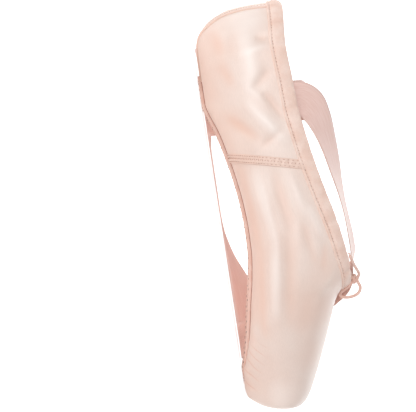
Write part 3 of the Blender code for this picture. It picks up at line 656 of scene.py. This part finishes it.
def satin_sheet(top_drop):
    """Satin round the last, folds and all, up to the collar line less top_drop, or closed if None."""
    def place(u, v):
        i = np.rint(v * (len(row_shares) - 1)).astype(int)
        share = row_shares[i]
        shrink = row_shrink[i]
        top = np.ones(len(u))
        if top_drop is not None:
            top = turn_at_height(share, collar_height(share) - top_drop)
        points = on_last(share, np.abs(2 * u - 1) * top)
        points[:, 1] *= np.where(u < 0.5, -1, 1)
        _, _, under, _, crest, _ = section(share)
        centre = on_last(share, np.full(len(u), WIDEST_TURN))
        centre[:, 1] = 0.0
        centre[:, 2] = (under + crest) / 2
        ends = np.where(v > 0.5, 1, -1) * CAP_DOME * (1 - (1 - shrink) ** 2)
        points += (centre - points) * shrink[:, None]
        points[:, 0] += ends
        return points

    bm = wrapped_grid(144, len(row_shares) - 1, place)
    bm.normal_update()
    heel = min(bm.verts, key=lambda vert: vert.co.x)
    if heel.normal.x > 0:
        bmesh.ops.reverse_faces(bm, faces=bm.faces)
        bm.normal_update()
    points = np.array([vert.co for vert in bm.verts])
    facing = np.array([vert.normal for vert in bm.verts])
    lift, shade = fold_height(points, facing)
    # The fold layer holds the satin's height in its folds less its painted shade, for the painted shade
    # and highlights of its colour
    tint = bm.verts.layers.float.new("fold")
    for vert, moved, depth in zip(bm.verts, points + facing * lift[:, None], shade):
        vert.co = moved
        vert[tint] = 0.5 + depth / TINT_RANGE
    bm.normal_update()
    return bm


skin = satin_sheet(None)
skin.faces.ensure_lookup_table()
skin_tree = BVHTree.FromBMesh(skin)
skin_corners = [[(vert.co.copy(), vert.normal.copy()) for vert in face.verts] for face in skin.faces]
skin.free()


def on_satin(point, lift=0.0):
    """Nearest place on the satin to a point, raised by lift, and the way the satin faces there."""
    place, _, index, _ = skin_tree.find_nearest(Vector(point))
    corners = skin_corners[index]
    weights = poly_3d_calc([co for co, _ in corners], place)
    facing = sum((normal * weight for (_, normal), weight in zip(corners, weights)), Vector())
    facing.normalize()
    return place + facing * lift, facing


satin = cloth(
    "shoe_satin", (247, 228, 218), (241, 216, 204), 28, (320, 2600, 2600), 0.00004, 0.30, (0.25, 0.35)
)
tree = satin.node_tree
links = tree.links
shader = tree.nodes["Principled BSDF"].inputs
shader["Specular IOR Level"].default_value = 0.65


def reckon(operation, *values):
    """Maths node of the satin's tree, fed by sockets or plain numbers."""
    node = new_node(tree, "ShaderNodeMath", operation=operation)
    for socket, value in zip(node.inputs, values):
        if isinstance(value, float):
            socket.default_value = value
        else:
            links.new(value, socket)
    return node.outputs["Value"]


def way_between(value, low, high, curve="SMOOTHSTEP"):
    """Share of the way from low to high that a socket's value has gone."""
    ends = {"From Min": low, "From Max": high}
    node = new_node(tree, "ShaderNodeMapRange", ends, interpolation_type=curve)
    links.new(value, node.inputs["Value"])
    return node.outputs["Result"]


def tinted(colour, share, tint):
    """Colour socket, mixed with a tint by a share."""
    node = new_node(tree, "ShaderNodeMix", {"B": (*tone(*tint), 1.0)}, data_type="RGBA")
    links.new(share, node.inputs["Factor"])
    links.new(colour, node.inputs["A"])
    return node.outputs["Result"]


# Painted shade and highlights: the satin's colour turns peach in the hollows of its folds, near the sole
# and in the shaded spots, and paler on the crowns of its folds and in the lit spots
fold_shade = new_node(tree, "ShaderNodeAttribute", attribute_name="fold").outputs["Fac"]
hollow_shade = way_between(fold_shade, 0.46, -0.45, "LINEAR")
crown_highlight = way_between(fold_shade, 0.56, 1.50, "LINEAR")
split = new_node(tree, "ShaderNodeSeparateXYZ")
links.new(tree.nodes["Texture Coordinate"].outputs["Object"], split.inputs["Vector"])
x, y, z = (split.outputs[axis] for axis in "XYZ")
# Painted shade: a darker line along each crease between the toe's pleats
past = reckon("SUBTRACT", x, PLEAT_CENTRE)
climb = reckon("MAXIMUM", reckon("SUBTRACT", z, PLEAT_FOOT), 0.0)
ahead = reckon("SUBTRACT", past, reckon("MULTIPLY", climb, PLEAT_LEAN))
turned = reckon("DIVIDE", reckon("ARCTAN2", reckon("ABSOLUTE", y), ahead), PLEAT_ANGLE)
sway = reckon("MULTIPLY", reckon("SINE", reckon("MULTIPLY", y, PLEAT_RHYTHM)), PLEAT_SWAY)
saw = reckon("FRACT", reckon("ADD", reckon("ADD", turned, 0.5), sway))
reach = reckon("ADD", z, reckon("MULTIPLY", past, PLEAT_FALL))
crease = way_between(saw, 0.13, 0.02)
low = way_between(reach, 0.0240, 0.0165)
front = way_between(x, 0.0740, 0.0800)
shade = reckon("MULTIPLY", reckon("MULTIPLY", crease, low), front)
colour = tinted(tree.nodes["cloth"].outputs["Colour"], hollow_shade, (236, 198, 180))
colour = tinted(colour, crown_highlight, (255, 245, 239))
colour = tinted(colour, reckon("MULTIPLY", shade, PLEAT_SHADE_SHARE), (222, 176, 158))
links.new(colour, shader["Base Color"])
canvas = cloth("canvas_lining", (250, 243, 234), (244, 234, 221), 60, 1500, 0.00010, 0.9)
upper = add_piece("satin_upper", satin_sheet(SATIN_BELOW_COLLAR), satin, canvas, slot="satin")
wall_share = upper.vertex_groups.new(name="wall")
for vert in upper.data.vertices:
    box = float(step_up(x_to_share(vert.co.x), BOX_BEGINS, BOX_FULL))
    wall_share.add([vert.index], (UPPER_WALL + (BOX_WALL - UPPER_WALL) * box) / BOX_WALL, "REPLACE")
wall = thicken(upper, BOX_WALL, -1.0)
wall.vertex_group = "wall"
wall.material_offset_rim = 1
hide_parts("upper")

# Side seams. The quarter laps over the vamp on each side with its edge turned in, and three rows of
# machine stitches, one of them in zigzag, hold it down in a narrow puckered band.
SEAM_FOOT_SHARE = 0.379
SEAM_TOP_SHARE = 0.4235
SEAM_FOOT_HEIGHT = 0.0116
SEAM_TOP_HEIGHT = 0.0530
SEAM_WIDTH = 0.0056
SEAM_UNDER_TURN = 0.13
# Share back across the band, and height off the satin
SEAM_PROFILE = (
    (0.0, -0.0002), (0.0, 0.0004), (0.025, 0.0007), (0.09, 0.0008), (0.16, 0.00045),
    (0.24, 0.0007), (0.38, 0.0007), (0.5, 0.0004), (0.62, 0.0006), (0.74, 0.0006),
    (0.86, 0.0003), (0.95, 0.0002), (1.0, -0.0002),
)
SEAM_STEPS = 130
SEAM_PUCKER = 0.00014
SEAM_LENGTH = 0.052
SEAM_STITCH_LENGTH = 0.0012
SEAM_STITCH_LIFT = 0.0006
# Rows of stitches: share back across the band, spacing, and how far the threads slant
SEAM_STITCH_ROWS = ((0.16, 0.0017, 0.0), (0.50, 0.0013, 0.9), (0.80, 0.0017, 0.0))
THREAD_WIDTH = 0.00034


def seam_line(down, back):
    """Place on the last of a share down the seam and a share back across it, on the left side."""
    share = SEAM_TOP_SHARE
    for _ in range(4):
        top_turn = turn_at_height(share, SEAM_TOP_HEIGHT)
        turned = top_turn + (SEAM_UNDER_TURN - top_turn) * down
        height = on_last(share, turned)[2]
        climb = max(height - SEAM_FOOT_HEIGHT, 0) / (SEAM_TOP_HEIGHT - SEAM_FOOT_HEIGHT)
        share = SEAM_FOOT_SHARE + (SEAM_TOP_SHARE - SEAM_FOOT_SHARE) * climb
        share -= back * SEAM_WIDTH / LAST_LENGTH
    return on_last(share, turned)


def add_stitches(name, spots, length, thickness, material, slot, flatness=0.8):
    """Short threads in one piece: each spot is a place, the way the thread runs and the way it faces."""
    bm = bmesh.new()
    for place, run, facing in spots:
        run = Vector(run).normalized()
        aside = Vector(facing).cross(run).normalized()
        depth = run.cross(aside) * thickness * flatness
        axes = Matrix((run * length, aside * thickness, depth)).transposed().to_4x4()
        where = Matrix.Translation(place) @ axes
        bmesh.ops.create_icosphere(bm, subdivisions=1, radius=0.5, matrix=where)
    return add_piece(name, bm, material, slot=slot)


tan_thread = cloth("tan_thread", (212, 166, 146), (190, 142, 122), 900, 4000, 0.00005, 0.7)
for side, sign in (("right", -1), ("left", 1)):
    def on_seam(u, v):
        points = []
        for across, down in zip(u, v):
            back, lift = SEAM_PROFILE[round(across * (len(SEAM_PROFILE) - 1))]
            pucker = SEAM_PUCKER * math.sin(down * SEAM_STEPS * 1.05 + 5 * back)
            pucker *= math.sin(math.pi * back)
            base = seam_line(down, back) * (1, sign, 1)
            points.append(on_satin(base, lift + pucker)[0])
        return points

    band = wrapped_grid(len(SEAM_PROFILE) - 1, SEAM_STEPS, on_seam)
    if sign < 0:
        bmesh.ops.reverse_faces(band, faces=band.faces)
    add_piece(f"side_seam_{side}", band, satin, slot="satin")
    spots = []
    for back, gap, slant in SEAM_STITCH_ROWS:
        count = round(SEAM_LENGTH / gap)
        for i in range(count):
            down = 0.02 + 0.9 * i / count
            base = seam_line(down, back) * (1, sign, 1)
            below = seam_line(down + 0.01, back) * (1, sign, 1)
            place, facing = on_satin(base, SEAM_STITCH_LIFT)
            run = Vector(below - base).normalized()
            zig = slant if i % 2 else -slant
            run = Matrix.Rotation(zig, 3, facing) @ run
            spots.append((place, run, facing))
    name = f"side_seam_stitches_{side}"
    add_stitches(name, spots, SEAM_STITCH_LENGTH, THREAD_WIDTH, tan_thread, "satin")

# Collar binding. A strip of matt cotton folded over the collar's edge as a casing for the drawstring,
# with a flat hem that one row of stitches holds to the satin, and drawn up into puckers in places.
BINDING_WIDTH = 0.0092
BINDING_STATIONS = 560
MARCH_STEPS = 8
THROAT_WIDTH_SHARE = 0.86
THROAT_REACH = 0.12
BINDING_TAB_LIFT = 0.0009
BINDING_SWELL = 0.00009
BINDING_STITCH_DOWN = 0.82
BINDING_STITCH_LIFT = 0.00052
BINDING_STITCH_SPACING = 0.0019
BINDING_STITCH_LENGTH = 0.0011
# Distance down from the edge as a share of the width, and height off the satin, outside to inside
BINDING_PROFILE = (
    (1.0, -0.0001), (0.995, 0.0005), (0.965, 0.0008), (0.9, 0.0009), (0.85, 0.0007), (0.82, 0.0004),
    (0.79, 0.0007), (0.72, 0.00105), (0.6, 0.0012), (0.45, 0.00125), (0.3, 0.00125), (0.17, 0.00115),
    (0.08, 0.0009), (0.02, 0.0004), (-0.02, -0.0004), (-0.035, -0.0012), (-0.01, -0.0021),
    (0.05, -0.0027), (0.15, -0.003), (0.35, -0.0031), (0.6, -0.0031), (0.85, -0.003),
    (0.96, -0.0027), (1.0, -0.0021),
)
# Puckers: share of the way round from the heel along the right side, how wide, and how deep
PUCKERS = (
    (0.062, 0.0018, -0.0009), (0.094, 0.0013, -0.0005), (0.15, 0.0014, -0.0004), (0.163, 0.0018, -0.0009),
    (0.192, 0.0017, -0.0008), (0.262, 0.0013, -0.0004), (0.33, 0.0013, -0.0005), (0.372, 0.0016, -0.0005),
    (0.452, 0.0014, -0.0008), (0.47, 0.001, -0.0007), (0.484, 0.001, -0.0008), (0.516, 0.001, -0.0008),
    (0.53, 0.001, -0.0007), (0.548, 0.0014, -0.0006), (0.64, 0.0014, -0.0005), (0.74, 0.0016, -0.0005),
    (0.815, 0.0017, -0.0008), (0.902, 0.0014, -0.0007),
)

line = np.linspace(0.0, 0.8, 4001)
half, _, _, widest, crest, fullness = section(line)
open_part = line[crest > collar_height(line)]
swing = np.linspace(0, math.pi, 400)
edge_share = (open_part[0] + open_part[-1]) / 2 - (open_part[-1] - open_part[0]) / 2 * np.cos(swing)
edge = on_last(edge_share, turn_at_height(edge_share, collar_height(edge_share)))
edge[0, 1] = edge[-1, 1] = 0.0
loop = np.concatenate((edge * (1, -1, 1), edge[-2::-1]))
travel = travelled(loop)
collar_length = travel[-1]
steps = np.linspace(0, collar_length, BINDING_STATIONS + 1)
stations = at_distance(loop, travel, steps)
wrap = stations[np.arange(-3, BINDING_STATIONS + 4) % BINDING_STATIONS]
runs = unit(wrap[6:] - wrap[:-6])
down_rows = np.zeros((BINDING_STATIONS + 1, MARCH_STEPS + 1, 3))
facings = np.zeros((BINDING_STATIONS + 1, MARCH_STEPS + 1, 3))
for i, (station, run) in enumerate(zip(stations, runs)):
    place, facing = on_satin(station)
    place = Vector(station)
    near_throat = abs(i / BINDING_STATIONS - 0.5)
    fullness = min(near_throat / THROAT_REACH, 1.0)
    width = BINDING_WIDTH * (THROAT_WIDTH_SHARE + (1 - THROAT_WIDTH_SHARE) * fullness)
    for k in range(MARCH_STEPS + 1):
        down_rows[i, k] = place
        facings[i, k] = facing
        away = Vector(run).cross(facing).normalized()
        place, facing = on_satin(place + away * width / MARCH_STEPS)


def on_binding(u, v):
    i = np.rint(v * BINDING_STATIONS).astype(int)
    profile = np.array(BINDING_PROFILE)[np.rint(u * (len(BINDING_PROFILE) - 1)).astype(int)]
    down = np.clip(profile[:, 0], 0, 1) * MARCH_STEPS
    k = np.minimum(down.astype(int), MARCH_STEPS - 1)
    part = (down - k)[:, None]
    base = down_rows[i, k] * (1 - part) + down_rows[i, k + 1] * part
    facing = unit(facings[i, k] * (1 - part) + facings[i, k + 1] * part)
    away = unit(down_rows[i, 1] - down_rows[i, 0])
    lift = profile[:, 1].copy()
    outer = profile[:, 1] > 0.0003
    around = i / BINDING_STATIONS
    for spot, width, depth in PUCKERS:
        gap = (around - spot) * collar_length
        share = np.where(outer, 1.0, 0.35) * np.clip(1.3 - profile[:, 0], 0, 1)
        lift += share * depth * np.exp(-(gap / width) ** 2)
    swell = np.sin(around * 2 * math.pi * 61 + 4 * profile[:, 0]) + np.sin(around * 2 * math.pi * 37 + 1)
    lift += BINDING_SWELL * swell * outer
    on_tab = (base[:, 0] < -0.08) * (1 - step_up(np.abs(base[:, 1]), 0.0098, 0.0122))
    lift += BINDING_TAB_LIFT * on_tab * (profile[:, 1] > 0) * step_up(profile[:, 0], 0, 0.5)
    over = np.minimum(profile[:, 0], 0)[:, None] * BINDING_WIDTH
    return base + facing * lift[:, None] + away * over


binding_cotton = cloth(
    "binding_cotton", (249, 223, 211), (242, 209, 194), 140, 1700, 0.00010, 0.82, (0.25, 0.5)
)
casing = wrapped_grid(len(BINDING_PROFILE) - 1, BINDING_STATIONS, on_binding)
bmesh.ops.holes_fill(casing, edges=[edge for edge in casing.edges if edge.is_boundary], sides=4)
bmesh.ops.recalc_face_normals(casing, faces=casing.faces)
binding = add_piece("cotton_binding", casing, binding_cotton, slot="cotton_casing")
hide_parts("collar_binding")
spots = []
count = round(collar_length / BINDING_STITCH_SPACING)
k = int(BINDING_STITCH_DOWN * MARCH_STEPS)
part = BINDING_STITCH_DOWN * MARCH_STEPS - k
for n in range(count):
    i = round((n + 0.5) / count * BINDING_STATIONS)
    facing = facings[i, k + 1]
    base = down_rows[i, k] * (1 - part) + down_rows[i, k + 1] * part
    spots.append((Vector(base + facing * BINDING_STITCH_LIFT), runs[i], facing))
add_stitches(
    "binding_stitches", spots, BINDING_STITCH_LENGTH, THREAD_WIDTH, tan_thread, "cotton_casing"
)

# Back tab. A strip of satin down the back of the heel, from the binding to under the outsole's heel
# end, with its edges turned in and four rows of stitches down it.
TAB_WIDTH = 0.0210
TAB_CENTRE = Vector((-0.0940, 0.0, 0.0285))
TAB_TOP_ANGLE = math.radians(136)
TAB_FOOT_ANGLE = math.radians(305)
# Half of the tab's profile: share out from its middle, and height off the satin
TAB_HALF = (
    (0.0, 0.00105), (0.13, 0.001), (0.2, 0.0007), (0.27, 0.001), (0.45, 0.00105), (0.7, 0.001),
    (0.77, 0.0007), (0.84, 0.001), (0.93, 0.00105), (0.985, 0.0009), (1.0, 0.0005), (1.0, -0.0002),
)
TAB_PROFILE = [(-aside, lift) for aside, lift in reversed(TAB_HALF)] + list(TAB_HALF[1:])
TAB_STEPS = 110
TAB_STITCH_ROWS = (-0.77, -0.20, 0.20, 0.77)
TAB_STITCHES = 40
TAB_STITCH_LIFT = 0.00085
TAB_STITCH_LENGTH = 0.0014


def tab_spot(across, down, lift):
    """Place on the heel's satin of shares across and down the tab, and the way it faces there."""
    angle = TAB_TOP_ANGLE + (TAB_FOOT_ANGLE - TAB_TOP_ANGLE) * down
    outward = Vector((math.cos(angle), 0.0, math.sin(angle)))
    start = TAB_CENTRE + outward * 0.06 + Vector((0.0, across * TAB_WIDTH / 2, 0.0))
    hit = skin_tree.ray_cast(start, -outward)[0]
    return on_satin(hit, lift)


def on_tab(u, v):
    points = []
    for across, down in zip(u, v):
        aside, lift = TAB_PROFILE[round(across * (len(TAB_PROFILE) - 1))]
        points.append(tab_spot(aside, down, lift)[0])
    return points


strip = wrapped_grid(len(TAB_PROFILE) - 1, TAB_STEPS, on_tab)
tab = add_piece("back_strip", strip, satin, slot="satin_tab")
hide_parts("back_tab")
spots = []
for aside in TAB_STITCH_ROWS:
    for n in range(TAB_STITCHES):
        down = 0.01 + 0.93 * n / TAB_STITCHES
        place, facing = tab_spot(aside, down, TAB_STITCH_LIFT)
        ahead, _ = tab_spot(aside, down + 0.01, TAB_STITCH_LIFT)
        spots.append((place, ahead - place, facing))
add_stitches(
    "back_strip_stitches", spots, TAB_STITCH_LENGTH, THREAD_WIDTH, tan_thread, "satin_tab"
)

# Outsole. Pink leather cut to a violin's outline, glued and sewn on by hand, with the stitches sunk
# in a channel and a second row round the forefoot. The size is stamped at the waist.
SOLE_HEEL_X = TOE_END - LAST_LENGTH + 0.0350
SOLE_LENGTH = 0.1825
SOLE_WIDTH = 0.0566
SOLE_POINTS = 260
# Share of the outsole's length from its heel end, and half width as a share of its width
OUTLINE = (
    (0.0, 0.05), (0.006, 0.102), (0.018, 0.165), (0.04, 0.234), (0.08, 0.305), (0.14, 0.341),
    (0.22, 0.333), (0.31, 0.303), (0.41, 0.279), (0.51, 0.309), (0.6, 0.397), (0.67, 0.463),
    (0.76, 0.5), (0.86, 0.452), (0.93, 0.371), (0.965, 0.3), (0.985, 0.214), (0.995, 0.135),
    (1.0, 0.06),
)
CHANNEL_INSET = 0.0032
HOLE_SPACING = 0.0060
# Height above the sole line from which the outsole's top edge is painted dark, as painted shade of the
# gap where it meets the satin
SOLE_GAP_SHADE_LINE = 0.0018
SOLE_STITCH_LENGTH = 0.0044
SOLE_STITCH_WIDTH = 0.00055
HOLE_LENGTH = 0.0013
HOLE_WIDTH = 0.0012
FOREFOOT_INSET = 0.0066
FOREFOOT_BEGINS = 0.046
STAMP_PLACE = -0.0280
STAMP_SIZE = 0.0086
# Inset from the edge, height above the sole line, and share of the way to the middle line
SOLE_ROWS = (
    (0.008, 0, 1), (0.008, 0, 0.66), (0.008, 0, 0.33), (0.008, 0, 0), (0.006, 0, 0),
    (0.0045, 0, 0), (0.0039, 0.00002, 0), (0.0036, 0.00022, 0), (0.0032, 0.00035, 0),
    (0.0028, 0.00022, 0), (0.0025, 0.00002, 0), (0.0015, 0, 0), (0.0007, 0.00005, 0),
    (0.0002, 0.0003, 0), (0, 0.0008, 0), (0, 0.0018, 0), (0.0002, 0.0022, 0),
    (0.0007, 0.0024, 0), (0.004, 0.0024, 0), (0.008, 0.0024, 0), (0.008, 0.0024, 1),
)

fine = np.linspace(0, 1, 2001) ** 1.5
fine = np.concatenate((fine / 2, 1 - fine[-2::-1] / 2))
half_width = SOLE_WIDTH * row_value(OUTLINE, 1, fine)
side = np.stack((SOLE_HEEL_X + SOLE_LENGTH * fine, half_width), axis=1)
side = np.concatenate((side[:1] * (1, 0), side, side[-1:] * (1, 0)))
travel = travelled(side)
side = at_distance(side, travel, np.linspace(0, travel[-1], SOLE_POINTS // 2 + 1))
rim = np.concatenate((side * (1, -1), side[-2:0:-1]))
for _ in range(3):
    rim = (np.roll(rim, 1, axis=0) + 2 * rim + np.roll(rim, -1, axis=0)) / 4
run = unit(np.roll(rim, -1, axis=0) - np.roll(rim, 1, axis=0))
rim_out = np.stack((run[:, 1], -run[:, 0]), axis=1)


def sole_level(x):
    return float(sole_height(x_to_share(x)))


def on_sole(u, v):
    i = np.rint(u * SOLE_POINTS).astype(int) % SOLE_POINTS
    inset, height, inward = np.array(SOLE_ROWS)[np.rint(v * (len(SOLE_ROWS) - 1)).astype(int)].T
    flat = rim[i] - rim_out[i] * inset[:, None]
    spine = np.clip(flat[:, 0], SOLE_HEEL_X + 0.020, SOLE_HEEL_X + SOLE_LENGTH - 0.030)
    flat[:, 0] += (spine - flat[:, 0]) * inward
    flat[:, 1] *= 1 - inward
    flat[:, 0] = np.round(flat[:, 0], 7)
    level = sole_height(x_to_share(flat[:, 0])) + height
    return np.column_stack((flat, level))


sole_leather = cloth("sole_leather", (246, 216, 204), (240, 204, 190), 45, 900, 0.00008, 0.62)
edge_leather = cloth("sole_edge", (250, 220, 208), (245, 206, 192), 200, (900, 900, 2500), 0.00010, 0.7)
sheet = wrapped_grid(SOLE_POINTS, len(SOLE_ROWS) - 1, on_sole)
bmesh.ops.recalc_face_normals(sheet, faces=sheet.faces)
for face in sheet.faces:
    face.material_index = 1 if abs(face.normal.z) < 0.75 else 0
    middle = face.calc_center_median()
    if middle.z - sole_level(middle.x) > SOLE_GAP_SHADE_LINE:
        face.material_index = 2
# Dark painted shade for the gap between the outsole's top edge and the satin
sole_gap_shade = cloth("sole_gap_shade", (206, 150, 130), (184, 126, 108), 400, 900, 0.00005, 0.8)
outsole = add_piece(
    "leather_outsole", sheet, sole_leather, edge_leather, sole_gap_shade, slot="sole_leather"
)
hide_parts("outsole")

# Stitch holes are flat dark blobs of painted shade, not recesses
hole_shade = cloth("stitch_hole", (70, 34, 26), (52, 22, 18), 900, 4000, 0.00002, 0.9)
sole_thread = cloth("sole_thread", (204, 164, 140), (182, 140, 116), 900, 4000, 0.00005, 0.75)


def sew_sole(name, inset, depth, keep):
    """Row of sole stitches at an inset: a dark blob of painted shade for the hole at each end of every
    thread.
    """
    row = rim - rim_out * inset
    row = np.concatenate((row, row[:1]))
    travel = travelled(row)
    count = round(travel[-1] / HOLE_SPACING)
    threads = []
    holes = []
    for n in range(count):
        for share, group, sunk in ((n, holes, 0.0), (n + 0.5, threads, depth)):
            spot = share / count * travel[-1]
            x, y = at_distance(row, travel, spot)
            if not keep(x):
                continue
            ahead = at_distance(row, travel, spot + 0.0004)
            rise = [sole_level(at) for at in (x, ahead[0])]
            run = Vector((ahead[0] - x, ahead[1] - y, rise[1] - rise[0]))
            group.append((Vector((x, y, rise[0] + sunk)), run, Vector((0, 0, -1))))
    add_stitches(
        f"{name}_threads", threads, SOLE_STITCH_LENGTH, SOLE_STITCH_WIDTH, sole_thread, "sole_leather"
    )
    add_stitches(
        f"{name}_holes", holes, HOLE_LENGTH, HOLE_WIDTH, hole_shade, "sole_leather", flatness=0.25
    )


sew_sole("sole_channel", CHANNEL_INSET, 0.0002, lambda x: True)
sew_sole("forefoot_row", FOREFOOT_INSET, 0.0001, lambda x: x > FOREFOOT_BEGINS)

size_stamp = bpy.data.curves.new("size_stamp", "FONT")
size_stamp.body = "35"
size_stamp.size = STAMP_SIZE
size_stamp.extrude = 0.00005
size_stamp.space_character = 1.25
size_stamp.align_x = "CENTER"
size_stamp.align_y = "CENTER"
text = bpy.data.objects.new("size_stamp_text", size_stamp)
scene.collection.objects.link(text)
stamp = bmesh.new()
graph = bpy.context.evaluated_depsgraph_get()
stamp.from_mesh(bpy.data.meshes.new_from_object(text.evaluated_get(graph)))
bpy.data.objects.remove(text)
bmesh.ops.subdivide_edges(stamp, edges=stamp.edges, cuts=1)
for vert in stamp.verts:
    x = STAMP_PLACE + vert.co.y
    vert.co = Vector((x, vert.co.x, sole_level(x) - vert.co.z))
bmesh.ops.recalc_face_normals(stamp, faces=stamp.faces)
copper_ink = cloth("copper_ink", (196, 128, 96), (206, 146, 116), 700, 4000, 0.00002, 0.6)
add_piece("size_number", stamp, copper_ink, slot="sole_leather")

# Insole. Board covered with plain woven cotton, glued in over the gathered edge of the upper. Its
# CAD solid has the right shape and stays.
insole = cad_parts["insole"]
sock_cotton = cloth("sock_cotton", (250, 244, 235), (245, 236, 224), 60, 1400, 0.00010, 0.9)
insole.data.materials.clear()
insole.data.materials.append(sock_cotton)
